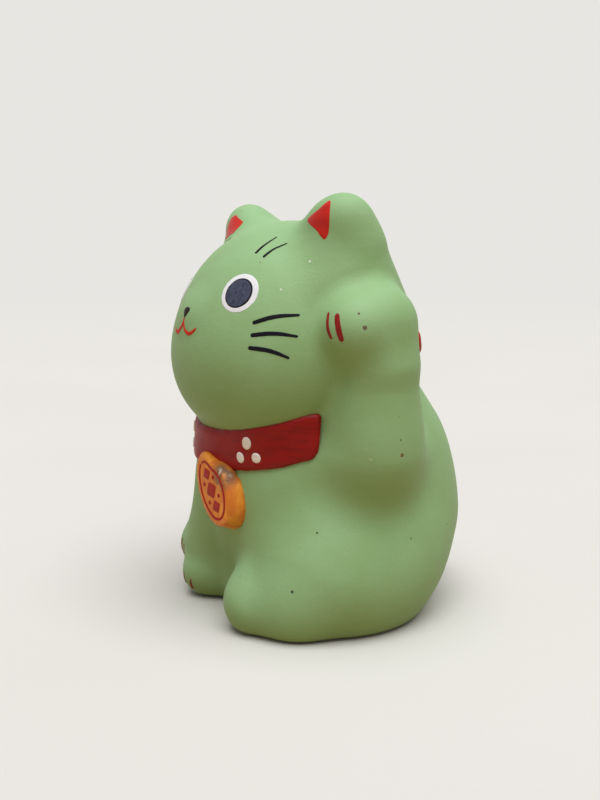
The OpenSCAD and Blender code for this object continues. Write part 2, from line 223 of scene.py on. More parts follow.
@dataclass(frozen=True)
class CatForm:
    """The soft form of the seated cat, which its clay skin and everything painted on it follow."""

    rump: Egg = Egg((0, 7.2, 16.8), (22.5, 21.8, 20.2))
    chest: Egg = Egg((0, 0.3, 26.6), (16.3, 14.6, 17.2))
    seat: Egg = Egg((0, 2.9, 4.1), (18.9, 15.9, 9))
    back: Egg = Egg((3.6, 9.4, 27.7), (14.9, 14.7, 13.5))
    neck: Limb = Limb((1.2, 5.4, 47), 8.6, (1.2, 7.2, 37), 12.2)
    skull: Egg = Egg((-0.2, -1.5, 51.4), (18.7, 16.5, 15.1))
    cheeks: Egg = Egg((0, -6, 43.1), (18.8, 15.7, 14.3))
    muzzle: Egg = Egg((-0.9, -15.7, 50.6), (5.4, 4.9, 4.4))
    ear: Limb = Limb((14.1, -0.6, 56.1), 5.9, (12.9, -2.3, 65.4), 3.3)
    ear_bridge: Limb = Limb((15.5, -1.2, 66.2), 3.5, (6.95, -1.2, 60.1), 4.2)
    ear_back: Limb = Limb((15, 1.1, 61.2), 4.5, (11.4, 6.7, 46), 7.8)
    ear_lean: float = 0.031
    thigh: Egg = Egg((12.3, 1.8, 9.7), (12.7, 16.7, 13.2))
    near_foot: Limb = Limb((13, -9.1, 4.9), 6.8, (8.4, -12.8, 4.8), 6.2)
    far_foot: Limb = Limb((-16.6, -9.3, 4.4), 4.3, (-17.2, -11.5, 7.6), 2.9)
    foreleg: Limb = Limb((-2.9, -9.4, 30), 7.2, (-11, -11.1, 9.5), 5.1)
    forepaw: Egg = Egg((-11.1, -11.4, 4.5), (5.1, 5.8, 5.2))
    upper_arm: Limb = Limb((19.3, 1.8, 31), 8, (20.6, 1.4, 44), 6.4)
    forearm: Limb = Limb((20.6, 1.4, 44), 6.4, (20.1, 1, 50.2), 6)
    hand: Limb = Limb((20.1, 1, 50.2), 6, (21, -3, 49.9), 5.5)
    bob: Limb = Limb((-0.5, 25.9, 7.6), 4.4, (1, 28.5, 13.6), 3.4)
    seam_y: float = 2.0
    base_round: float = 1.2
    slip_at_paw: float = 2.5
    slip_at_elbow: float = 6.5
    slip_top: float = 40.0
    slip_fade: float = 12.0

    def figure(self, points: np.ndarray) -> np.ndarray:
        """Distance to the figure as it left the moulds, with no arm or tail luted on."""
        pair = points.copy()
        pair[:, 0] = np.abs(points[:, 0])
        leaning = pair.copy()
        leaning[:, 2] = points[:, 2] - self.ear_lean * points[:, 0]
        trunk = blend(self.rump.distance(points), self.chest.distance(points), 10)
        trunk = blend(blend(trunk, self.seat.distance(points), 3), self.back.distance(points), 6)
        trunk = blend(trunk, self.neck.distance(points), 5)
        head = blend(self.skull.distance(points), self.cheeks.distance(points), 8)
        head = blend(head, self.muzzle.distance(points), 2.5)
        ears = blend(self.ear.distance(leaning), self.ear_bridge.distance(leaning), 4)
        ears = blend(ears, self.ear_back.distance(leaning), 5)
        whole = blend(trunk, blend(head, ears, 5), 2.5)
        whole = blend(whole, self.thigh.distance(pair), 5)
        feet = blend(self.near_foot.distance(points), self.far_foot.distance(points), 3)
        leg = blend(self.foreleg.distance(points), self.forepaw.distance(points), 1.3)
        return blend(blend(whole, feet, 3.5), leg, 2.5)

    def arm(self, points: np.ndarray) -> np.ndarray:
        """Distance to the raised arm and its paw."""
        lower = blend(self.upper_arm.distance(points), self.forearm.distance(points), 1)
        return blend(lower, self.hand.distance(points), 3)

    def skin(self, points: np.ndarray) -> np.ndarray:
        """Distance to the whole painted skin, down to the rounded edge of the flat base.

        The slip round the luted arm was smeared wide at the elbow and left narrow at the paw.
        """
        low = ease(np.clip((self.slip_top - points[:, 2]) / self.slip_fade, 0, 1))
        slip = self.slip_at_paw + (self.slip_at_elbow - self.slip_at_paw) * low
        whole = blend(self.figure(points), self.arm(points), slip)
        whole = blend(whole, self.bob.distance(points), 1.5)
        return -blend(-whole, points[:, 2], self.base_round)

    def slope(self, points: np.ndarray, shape: Shape | None = None) -> np.ndarray:
        """Gradient of a distance at each point.

        Args:
            points: Places, in millimetres.
            shape: The distance to follow, the skin if none is given.

        Returns:
            One gradient for each point.
        """
        shape = shape or self.skin
        step = 0.01
        corners = np.array(((1, -1, -1), (-1, -1, 1), (-1, 1, -1), (1, 1, 1)), float)
        total = sum(shape(points + step * c)[:, None] * c for c in corners)
        return total / (4 * step)

    def settle(self, points: np.ndarray, turns: int = 4, along: np.ndarray | None = None) -> np.ndarray:
        """Moves points onto the skin.

        Args:
            points: Places near the skin, in millimetres.
            turns: How many times the move is repeated.
            along: One direction to move along, or none for the shortest way.

        Returns:
            The places on the skin.
        """
        places = points.copy()
        for _ in range(turns):
            gap = self.skin(places)
            slope = self.slope(places)
            if along is None:
                places -= slope * (gap / np.maximum((slope * slope).sum(1), 0.2))[:, None]
            else:
                rate = np.maximum(slope @ along, 0.35)
                places -= np.clip(gap / rate, -1.5, 1.5)[:, None] * along
        return places

    def normals(self, points: np.ndarray) -> np.ndarray:
        """Unit normals of the skin at the points."""
        slope = self.slope(points)
        return slope / np.linalg.norm(slope, axis=1)[:, None]

    def reach(self, bearings: np.ndarray, heights: np.ndarray) -> np.ndarray:
        """Places of the skin straight out from the upright seam axis.

        Args:
            bearings: Angle round the axis from +X, in radians, for each place.
            heights: Height of each place.

        Returns:
            The places on the skin.
        """
        centre = np.stack((0 * heights, 0 * heights + self.seam_y, heights), 1)
        way = outward(bearings)

        def inside(radii: np.ndarray) -> np.ndarray:
            """Whether the places this far from the axis lie in the clay."""
            return self.skin(centre + radii[:, None] * way) < 0

        radii = last_true(np.full(len(heights), 6.0), np.full(len(heights), 36.0), inside, turns=20)
        return centre + radii[:, None] * way


@dataclass(frozen=True)
class PhotoCamera:
    """The camera that took the photograph, solved from the pairs of eyes, ears and collar dots."""

    place: Triple = (145.145, -90.697, 63.277)
    azimuth: float = 58.0
    drop: float = math.degrees(math.atan(0.16))
    lens: float = 45.0
    sensor: float = 36.0
    clip_start: float = 0.005

    def axes(self) -> Matrix:
        """The camera's right, up and backward axes as a turn."""
        turn = Matrix.Rotation(math.radians(self.azimuth), 3, "Z")
        return turn @ Matrix.Rotation(math.radians(90 - self.drop), 3, "X")

    def ray(self, spot: Pair) -> Vector:
        """Direction in which the camera sees a place of the photograph."""
        view = Vector((spot[0] - PHOTO_W / 2, PHOTO_H / 2 - spot[1], -LONG_SIDE * self.lens / self.sensor))
        return (self.axes() @ view).normalized()

    def project(self, points: np.ndarray) -> np.ndarray:
        """Where places show in the photograph.

        Args:
            points: Places, in millimetres.

        Returns:
            Their x and y in the photograph's frame.
        """
        view = (points - array(self.place)) @ np.array(self.axes())
        scale = LONG_SIDE * self.lens / self.sensor / -view[:, 2]
        return np.stack((view[:, 0] * scale + PHOTO_W / 2, PHOTO_H / 2 - view[:, 1] * scale), 1)

    def add(self) -> bpy.types.Object:
        """Adds the camera to the scene and makes it the active one."""
        data = bpy.data.cameras.new("photo_camera")
        data.sensor_fit = "AUTO"
        data.sensor_width = self.sensor
        data.lens = self.lens
        data.clip_start = self.clip_start
        camera = bpy.data.objects.new("photo_camera", data)
        camera.matrix_world = Matrix.Translation(Vector(self.place) / METRE) @ self.axes().to_4x4()
        bpy.context.scene.collection.objects.link(camera)
        bpy.context.scene.camera = camera
        return camera


# ---------------------------------------------------------------- workshop: mesh helpers


def clear_selection() -> None:
    """Deselects every object, and leaves edit mode if it is on."""
    if bpy.context.object and bpy.context.object.mode != "OBJECT":
        bpy.ops.object.mode_set(mode="OBJECT")
    bpy.ops.object.select_all(action="DESELECT")


def take_up(piece: bpy.types.Object) -> None:
    """Makes a piece the only selected and the active one."""
    clear_selection()
    piece.hide_set(False)
    piece.select_set(True)
    bpy.context.view_layer.objects.active = piece


def named(name: str) -> bpy.types.Object:
    """Gives the active object and its mesh their name."""
    piece = bpy.context.object
    piece.name = name
    piece.data.name = name
    return piece


def join(pieces: list[bpy.types.Object], name: str) -> bpy.types.Object:
    """Joins pieces into one of this name."""
    clear_selection()
    for piece in pieces:
        piece.select_set(True)
    bpy.context.view_layer.objects.active = pieces[0]
    bpy.ops.object.join()
    return named(name)


def read_points(piece: bpy.types.Object) -> np.ndarray:
    """The piece's vertices, in millimetres."""
    flat = np.zeros(len(piece.data.vertices) * 3, np.float32)
    piece.data.vertices.foreach_get("co", flat)
    return flat.reshape(-1, 3).astype(float) * METRE


def write_points(piece: bpy.types.Object, points: np.ndarray) -> None:
    """Puts the piece's vertices at these places, given in millimetres."""
    piece.data.vertices.foreach_set("co", (points / METRE).astype(np.float32).ravel())
    piece.data.update()


def finish_with(piece: bpy.types.Object, kind: str, **settings: object) -> None:
    """Adds a modifier to a piece and applies it.

    Args:
        piece: The piece.
        kind: The modifier's type.
        settings: Its settings by name.
    """
    take_up(piece)
    modifier = piece.modifiers.new(kind.lower(), kind)
    for key, value in settings.items():
        setattr(modifier, key, value)
    bpy.ops.object.modifier_apply(modifier=modifier.name)


def remesh(piece: bpy.types.Object, voxel: float) -> None:
    """Covers a piece with an even mesh, of a grain in millimetres."""
    finish_with(piece, "REMESH", mode="VOXEL", voxel_size=voxel / METRE, adaptivity=0.0)


def thicken(piece: bpy.types.Object, inward: float, limit: float) -> None:
    """Gives a sheet a body below its face, and shades it.

    Args:
        piece: The sheet.
        inward: How thick it becomes, in millimetres.
        limit: Edges sharper than this many degrees stay crisp.
    """
    finish_with(piece, "SOLIDIFY", thickness=inward / METRE, offset=-1.0, use_rim=True)
    smooth(piece, limit)


def in_edit_mode(piece: bpy.types.Object, *steps: Callable[[], object]) -> None:
    """Runs edit-mode steps on the whole of a piece.

    Args:
        piece: The piece.
        steps: The steps, in order. Each starts with what the one before it left selected.
    """
    take_up(piece)
    bpy.ops.object.mode_set(mode="EDIT")
    bpy.ops.mesh.select_all(action="SELECT")
    for step in steps:
        step()
    bpy.ops.object.mode_set(mode="OBJECT")


def smooth(piece: bpy.types.Object, limit: float = 40.0) -> None:
    """Shades a piece smooth, apart from edges sharper than limit degrees."""
    take_up(piece)
    bpy.ops.object.shade_smooth_by_angle(angle=math.radians(limit))


def place_in_mesh(piece: bpy.types.Object) -> None:
    """Moves a piece's place, turn and scale into its mesh."""
    take_up(piece)
    bpy.ops.object.transform_apply(location=True, rotation=True, scale=True)


def grid(name: str, cols: int, rows: int) -> tuple[bpy.types.Object, np.ndarray]:
    """A flat grid, and the coordinates of its vertices from -1 to 1."""
    clear_selection()
    bpy.ops.mesh.primitive_grid_add(x_subdivisions=cols, y_subdivisions=rows, size=2)
    piece = named(name)
    return piece, read_points(piece)[:, :2] / METRE


def ball(name: str, egg: Egg) -> bpy.types.Object:
    """An egg as a solid."""
    clear_selection()
    bpy.ops.mesh.primitive_ico_sphere_add(subdivisions=5, radius=0.001)
    piece = named(name)
    write_points(piece, read_points(piece) * array(egg.half) + array(egg.centre))
    return piece


def drum(name: str, radius: float, low: float, high: float, y: float, sides: int) -> bpy.types.Object:
    """An upright cylinder over the middle of the base.

    Args:
        name: Its name.
        radius: Its radius, in millimetres.
        low: Height of its lower end.
        high: Height of its upper end.
        y: How far back from the middle it stands.
        sides: How many sides it has.

    Returns:
        The cylinder.
    """
    clear_selection()
    bpy.ops.mesh.primitive_cylinder_add(radius=radius / METRE, depth=(high - low) / METRE, vertices=sides,
                                        location=(0, y / METRE, (low + high) / 2 / METRE))
    piece = named(name)
    place_in_mesh(piece)
    return piece


def keep_outside(piece: bpy.types.Object) -> None:
    """Deletes every island of a mesh but the one with its lowest x."""
    first = int(np.argmin(read_points(piece)[:, 0]))
    take_up(piece)
    bpy.ops.object.mode_set(mode="EDIT")
    bpy.ops.mesh.select_mode(type="VERT")
    bpy.ops.mesh.select_all(action="DESELECT")
    bpy.ops.object.mode_set(mode="OBJECT")
    piece.data.vertices[first].select = True
    bpy.ops.object.mode_set(mode="EDIT")
    bpy.ops.mesh.select_linked()
    bpy.ops.mesh.select_all(action="INVERT")
    bpy.ops.mesh.delete(type="VERT")
    bpy.ops.object.mode_set(mode="OBJECT")


def cut(piece: bpy.types.Object, tool: bpy.types.Object, how: str, keep: bool = False) -> None:
    """Cuts a piece with a tool solid.

    Args:
        piece: What is cut.
        tool: What cuts.
        how: DIFFERENCE or INTERSECT.
        keep: Whether the tool is needed again.
    """
    finish_with(piece, "BOOLEAN", operation=how, object=tool, solver="MANIFOLD")
    if not keep:
        bpy.data.objects.remove(tool)


def raise_face(rise: float, wide: float, tall: float) -> None:
    """Extrudes the blank's selected face by a rise in metres, and draws it in by two shares."""
    bpy.ops.mesh.extrude_region_move(TRANSFORM_OT_translate={"value": (0, 0, rise)})
    bpy.ops.transform.resize(value=(wide, tall, 1), center_override=(0, 0, 0))


def tree_of(*pieces: bpy.types.Object) -> BVHTree:
    """A ray tree of the pieces as they are finished and placed, in metres."""
    points: list[Vector] = []
    faces: list[tuple[int, ...]] = []
    for piece in pieces:
        start = len(points)
        points.extend(v.co for v in piece.data.vertices)
        faces.extend(tuple(start + i for i in face.vertices) for face in piece.data.polygons)
    return BVHTree.FromPolygons(points, faces)


def spot_on(carrier: BVHTree, camera: PhotoCamera, spot: Pair) -> np.ndarray:
    """The place of a carrier that shows at an image point, or the place nearest to that line of sight.

    Args:
        carrier: Ray tree of what carries the detail, as finished.
        camera: The photograph's camera.
        spot: The image point.

    Returns:
        The place, in millimetres.
    """
    start = Vector(camera.place) / METRE
    way = camera.ray(spot)
    hit = carrier.ray_cast(start, way)[0]
    if hit is None:
        steps = [start + way * (0.1 + 0.001 * i) for i in range(200)]
        found = [(carrier.find_nearest(step)[0], step) for step in steps]
        hit = min(found, key=lambda pair: (pair[0] - pair[1]).length)[0]
    return array(hit) * METRE


def copy_of(node: str) -> bpy.types.Object:
    """A copy of a CAD node with its own merged mesh, ready to be worked on."""
    source = frame["nodes"][node]
    piece = bpy.data.objects.new(node + "_copy", source.data.copy())
    piece.data.materials.clear()
    bpy.context.scene.collection.objects.link(piece)
    in_edit_mode(piece, partial(bpy.ops.mesh.remove_doubles, threshold=MERGE / METRE))
    return piece


# ---------------------------------------------------------------- paint films


@dataclass(frozen=True)
class Local:
    """A tangent frame on the skin: across, up and out, all unit directions, at a place."""

    place: np.ndarray
    across: np.ndarray
    up: np.ndarray
    out: np.ndarray

    def spread(self, flat: np.ndarray) -> np.ndarray:
        """Places in the tangent plane for flat coordinates in millimetres."""
        return self.place + flat[:, :1] * self.across + flat[:, 1:2] * self.up


@dataclass(frozen=True)
class Film:
    """How a coat of paint lies: its height over the skin, how it ends at its edge, and its foot."""

    middle: float = 0.075
    edge: float = 0.03
    foot: float = 0.16

    def height(self, share: np.ndarray) -> np.ndarray:
        """Height of the film for places that lie this share of the way out to its edge."""
        return self.edge + (self.middle - self.edge) * np.sqrt(np.clip(1 - share**6, 0, 1))


def spline(knots: Path, share: np.ndarray, closed: bool = False) -> np.ndarray:
    """A smooth line through knots.

    Args:
        knots: The places that the line passes.
        share: How far along the line each wanted place is, from 0 to 1.
        closed: Whether the line runs back to its first knot.

    Returns:
        The places on the line.
    """
    k = np.array(knots, float)
    count = len(k) if closed else len(k) - 1
    where = np.clip(share, 0, 1) * count
    index = np.minimum(where.astype(int), count - 1)
    t = (where - index)[:, None]

    def knot(i: np.ndarray) -> np.ndarray:
        """Knots by number, past the ends too."""
        if closed:
            return k[i % len(k)]
        inner = k[np.clip(i, 0, len(k) - 1)]
        before = 2 * k[0] - k[1]
        after = 2 * k[-1] - k[-2]
        return np.where((i < 0)[:, None], before, np.where((i >= len(k))[:, None], after, inner))

    a, b, c, d = knot(index - 1), knot(index), knot(index + 1), knot(index + 2)
    return 0.5 * (2 * b + (c - a) * t + (2 * a - 5 * b + 4 * c - d) * t**2 + (3 * b - a - 3 * c + d) * t**3)


def waver(values: np.ndarray, seed: float, scale: float) -> np.ndarray:
    """The small unevenness of a hand-held brush, from -1 to 1, for each value."""
    return np.array([noise.noise(Vector((v * scale, seed, 0.5))) for v in values])


@dataclass
class SkinGround:
    """The clay skin, as a ground for paint."""

    form: CatForm

    def press(self, places: np.ndarray, out: np.ndarray) -> tuple[np.ndarray, np.ndarray]:
        """Moves places onto the skin along one direction.

        Args:
            places: Where the sheet of paint was drawn.
            out: The direction, out of the skin.

        Returns:
            The places on the skin, and its normals there.
        """
        pressed = self.form.settle(places, turns=8, along=out)
        return pressed, self.form.normals(pressed)


@dataclass
class PieceGround:
    """A finished piece, as a ground for paint."""

    tree: BVHTree
    clear: float = 4.0
    reach: float = 12.0

    def press(self, places: np.ndarray, out: np.ndarray) -> tuple[np.ndarray, np.ndarray]:
        """Moves places onto the piece along one direction.

        Args:
            places: Where the sheet of paint was drawn.
            out: The direction, out of the piece.

        Returns:
            The places on the piece, and for each the direction in which the film stands out.
        """
        pressed = places.copy()
        for i, place in enumerate(places):
            start = Vector(place + self.clear * out) / METRE
            hit = self.tree.ray_cast(start, Vector(-out), self.reach / METRE)[0]
            if hit is not None:
                pressed[i] = array(hit) * METRE
        return pressed, np.tile(out, (len(places), 1))


@dataclass
class Painter:
    """Lays thin films of paint on the finished skin, or on another ground."""

    form: CatForm
    camera: PhotoCamera
    skin: BVHTree
    ground: SkinGround | PieceGround
    mirror_x: float = -0.7

    def local(self, point: str, carrier: BVHTree | None = None) -> Local:
        """The tangent frame where an image point shows on the skin, or on another carrier."""
        place = spot_on(carrier or self.skin, self.camera, IMAGE_POINTS[point])
        return self.local_at(place, carrier)

    def local_at(self, place: np.ndarray, carrier: BVHTree | None = None) -> Local:
        """The tangent frame nearest a place, with its up direction as upright as can be."""
        out = self.form.normals(self.form.settle(place[None]))[0]
        if carrier is not None:
            hit, normal = carrier.find_nearest(Vector(place + 3 * out) / METRE)[:2]
            place, out = array(hit) * METRE, array(normal)
        across = np.cross((0.0, 0.0, 1.0), out)
        across /= np.linalg.norm(across)
        return Local(place, across, np.cross(out, across), out)

    def lay(self, piece: bpy.types.Object, places: np.ndarray, out: np.ndarray, share: np.ndarray,
            film: Film, flank: Flank) -> bpy.types.Object:
        """Presses a sheet onto the ground, gives it the film's height and closes it from below.

        Args:
            piece: The sheet.
            places: Where its vertices go, before they are pressed on.
            out: Direction along which they are pressed on.
            share: How far out to the film's edge each vertex lies, from 0 to 1.
            film: The coat of paint.
            flank: The side of the cat that it lies on.

        Returns:
            The finished film.
        """
        pressed, normals = self.ground.press(places, out)
        if flank is Flank.FAR:
            mirrored = pressed * np.array((-1.0, 1.0, 1.0)) + np.array((2 * self.mirror_x, 0.0, 0.0))
            pressed = self.form.settle(mirrored)
            normals = self.form.normals(pressed)
        write_points(piece, pressed + normals * film.height(share)[:, None])
        if flank is Flank.FAR:
            in_edit_mode(piece, bpy.ops.mesh.flip_normals)
        thicken(piece, film.edge + film.foot, 50)
        return piece

    def blot(self, name: str, local: Local, outline: Shape, film: Film,
             flank: Flank = Flank.NEAR, grain: int = 24) -> bpy.types.Object:
        """A filled shape of paint.

        Args:
            name: Its name.
            local: The tangent frame that its outline is drawn in.
            outline: Flat places of the outline for shares of the way round it.
            film: The coat of paint.
            flank: The side of the cat.
            grain: Faces along each side of its grid.

        Returns:
            The film.
        """
        piece, own = grid(name, grain, grain)
        x = own[:, 0] * np.sqrt(1 - own[:, 1]**2 / 2)
        y = own[:, 1] * np.sqrt(1 - own[:, 0]**2 / 2)
        share = np.clip(np.hypot(x, y), 0, 1)
        turn = np.mod(np.arctan2(y, x) / math.tau, 1)
        rim = outline(turn)
        middle = outline(np.linspace(0, 1, 48, endpoint=False)).mean(0)
        wobble = 1 + 0.008 * waver(np.cos(turn * math.tau) + 2 * np.sin(turn * math.tau), len(name), 3.0)
        flat = middle + (rim - middle) * (share * wobble)[:, None]
        return self.lay(piece, local.spread(flat), local.out, share, film, flank)

    def stroke(self, name: str, local: Local, path: Path, widths: tuple[float, ...], film: Film,
               flank: Flank = Flank.NEAR, grain: tuple[int, int] = (30, 8)) -> bpy.types.Object:
        """A brush stroke.

        Args:
            name: Its name.
            local: The tangent frame that its path is drawn in.
            path: Flat places that it passes.
            widths: Its width at stations spread evenly along it.
            film: The coat of paint.
            flank: The side of the cat.
            grain: Faces along and across it.

        Returns:
            The film.
        """
        piece, own = grid(name, *grain)
        along = (own[:, 0] + 1) / 2
        line = spline(path, along)
        ahead = spline(path, np.minimum(along + 0.01, 1)) - spline(path, np.maximum(along - 0.01, 0))
        ahead /= np.linalg.norm(ahead, axis=1)[:, None]
        side = np.stack((-ahead[:, 1], ahead[:, 0]), 1)
        length = np.linalg.norm(np.diff(spline(path, np.linspace(0, 1, 60)), axis=0), axis=1).sum()
        width = np.interp(along, np.linspace(0, 1, len(widths)), widths)
        cap = np.clip(1 - np.minimum(along, 1 - along) * length / (width / 2), 0, 1)
        half = width / 2 * np.sqrt(np.clip(1 - cap**2, 0.02, 1))
        half *= 1 + 0.1 * waver(along * length + own[:, 1], len(name) * 1.7, 1.4)
        share = np.maximum(np.abs(own[:, 1]), cap)
        flat = line + side * (own[:, 1] * half)[:, None]
        return self.lay(piece, local.spread(flat), local.out, share, film, flank)


def oval(half_w: float, half_h: float, at: Pair = (0.0, 0.0), lean: float = 0.0) -> Shape:
    """Outline of an oval.

    Args:
        half_w: Half its width.
        half_h: Half its height.
        at: Its middle.
        lean: Turn to the left, in degrees.

    Returns:
        A function from shares of the way round to flat places.
    """
    c, s = math.cos(math.radians(lean)), math.sin(math.radians(lean))

    def outline(share: np.ndarray) -> np.ndarray:
        """Places of the oval's rim."""
        x, y = half_w * np.cos(share * math.tau), half_h * np.sin(share * math.tau)
        return np.stack((at[0] + c * x - s * y, at[1] + s * x + c * y), 1)

    return outline


def ring(half_w: float, half_h: float, start: float = 0.0, knots: int = 20) -> Path:
    """The path of a stroke that runs once round an oval.

    Args:
        half_w: Half the oval's width.
        half_h: Half its height.
        start: Where the brush is set down, in degrees from the right.
        knots: How many places the path passes.

    Returns:
        The path.
    """
    turns = [math.radians(start + 356 * i / (knots - 1)) for i in range(knots)]
    return [(half_w * math.cos(t), half_h * math.sin(t)) for t in turns]


def lozenge(half_w: float, half_h: float, at: Pair, fullness: float = 1.15) -> Shape:
    """Outline of a lozenge with soft corners.

    Args:
        half_w: Half its width.
        half_h: Half its height.
        at: Its middle.
        fullness: 1 for straight sides, 2 for an oval.

    Returns:
        A function from shares of the way round to flat places.
    """
    def outline(share: np.ndarray) -> np.ndarray:
        """Places of the lozenge's rim."""
        c, s = np.cos(share * math.tau), np.sin(share * math.tau)
        size = (np.abs(c)**fullness + np.abs(s)**fullness)**(-1 / fullness)
        return np.stack((at[0] + half_w * size * c, at[1] + half_h * size * s), 1)

    return outline


def moved(path: Path, across: float, up: float = 0.0) -> Path:
    """A path moved sideways and up, in millimetres."""
    return [(x + across, y + up) for x, y in path]


def through(knots: Path) -> Shape:
    """Outline of a closed smooth line through knots, which run anticlockwise from the right."""
    def outline(share: np.ndarray) -> np.ndarray:
        """Places of the line."""
        return spline(knots, share, closed=True)

    return outline


# ---------------------------------------------------------------- finishes


@dataclass
class Graph:
    """A material under construction, with short calls for its nodes."""

    name: str

    def __post_init__(self) -> None:
        """Starts the material with its shader and its object coordinates."""
        self.material = bpy.data.materials.new(self.name)
        self.material.use_nodes = True
        self.tree = self.material.node_tree
        self.shader = self.tree.nodes["Principled BSDF"]
        self.here = self.add("ShaderNodeTexCoord").outputs["Object"]

    def add(self, kind: str, links: dict[str | int, object] | None = None,
            **settings: object) -> bpy.types.Node:
        """Adds a node.

        Args:
            kind: The node's type.
            links: For each of its inputs, the value or the output that goes in.
            settings: Its settings by name.

        Returns:
            The node.
        """
        node = self.tree.nodes.new(kind)
        for key, value in settings.items():
            setattr(node, key, value)
        for key, value in (links or {}).items():
            if isinstance(value, bpy.types.NodeSocket):
                self.tree.links.new(value, node.inputs[key])
            else:
                node.inputs[key].default_value = value
        return node

    def noise(self, scale: float, detail: float = 2.0, stretch: Triple = (1, 1, 1),
              rough: float = 0.5) -> bpy.types.NodeSocket:
        """Cloudy noise from 0 to 1 with this many waves per metre, stretched along the axes."""
        here = self.add("ShaderNodeMapping", {"Vector": self.here, "Scale": stretch}).outputs[0]
        node = self.add("ShaderNodeTexNoise", {"Vector": here, "Scale": scale, "Detail": detail,
                                               "Roughness": rough})
        return node.outputs["Fac"]

    def ramp(self, value: bpy.types.NodeSocket, low: float, high: float, start: float = 0.0,
             end: float = 1.0) -> bpy.types.NodeSocket:
        """Maps low..high smoothly to start..end."""
        node = self.add("ShaderNodeMapRange", {"Value": value, "From Min": low, "From Max": high,
                                               "To Min": start, "To Max": end})
        node.interpolation_type = "SMOOTHSTEP"
        return node.outputs["Result"]

    def math(self, operation: str, a: object, b: object = 0.0) -> bpy.types.NodeSocket:
        """One sum of two values."""
        return self.add("ShaderNodeMath", {0: a, 1: b}, operation=operation).outputs[0]

    def mix(self, share: object, a: object, b: object) -> bpy.types.NodeSocket:
        """Mixes two colours."""
        node = self.add("ShaderNodeMix", data_type="RGBA")
        for index, value in ((0, share), (6, a), (7, b)):
            if isinstance(value, bpy.types.NodeSocket):
                self.tree.links.new(value, node.inputs[index])
            else:
                node.inputs[index].default_value = value
        return node.outputs[2]

    def near(self, spot: np.ndarray, inner: float, outer: float) -> bpy.types.NodeSocket:
        """1 within inner millimetres of a spot, 0 beyond outer millimetres."""
        gap = self.add("ShaderNodeVectorMath", {0: self.here, 1: tuple(spot / METRE)},
                       operation="DISTANCE").outputs["Value"]
        return self.ramp(gap, outer / METRE, inner / METRE)

    def height(self) -> bpy.types.NodeSocket:
        """Height above the base, in metres."""
        return self.add("ShaderNodeSeparateXYZ", {0: self.here}).outputs["Z"]

    def relief(self, *layers: tuple[bpy.types.NodeSocket, float]) -> None:
        """Adds bumps to the shader.

        Args:
            layers: Pairs of a height from 0 to 1 and how many millimetres it stands for.
        """
        normal = None
        for value, depth in layers:
            bump = self.add("ShaderNodeBump", {"Height": value, "Distance": depth / METRE,
                                               "Strength": 1.0})
            if normal is not None:
                self.tree.links.new(normal, bump.inputs["Normal"])
            normal = bump.outputs["Normal"]
        self.tree.links.new(normal, self.shader.inputs["Normal"])

    def colour(self, value: bpy.types.NodeSocket) -> None:
        """Sets the shader's colour."""
        self.tree.links.new(value, self.shader.inputs["Base Color"])

    def surface(self, roughness: float | bpy.types.NodeSocket, specular: float = 0.5,
                **more: float) -> bpy.types.Material:
        """Sets how the surface shines, and gives the finished material."""
        if isinstance(roughness, bpy.types.NodeSocket):
            self.tree.links.new(roughness, self.shader.inputs["Roughness"])
        else:
            self.shader.inputs["Roughness"].default_value = roughness
        self.shader.inputs["Specular IOR Level"].default_value = specular
        for key, value in more.items():
            self.shader.inputs[key.replace("_", " ").title()].default_value = value
        return self.material


def rgb(red: int, green: int, blue: int) -> tuple[float, float, float, float]:
    """A screen colour, 0 to 255, as the linear colour that shaders take."""
    def linear(value: int) -> float:
        """One channel."""
        share = value / 255
        return share / 12.92 if share <= 0.04045 else ((share + 0.055) / 1.055) ** 2.4

    return (linear(red), linear(green), linear(blue), 1.0)


@dataclass(frozen=True)
class Chip:
    """A small flaw in the paint: where it lies, how big it is and what shows there."""

    spot: Triple
    size: float
    colour: tuple[float, float, float, float]


EARTH = rgb(94, 72, 46)
LEAF = rgb(66, 80, 54)
CHALK = rgb(226, 238, 220)


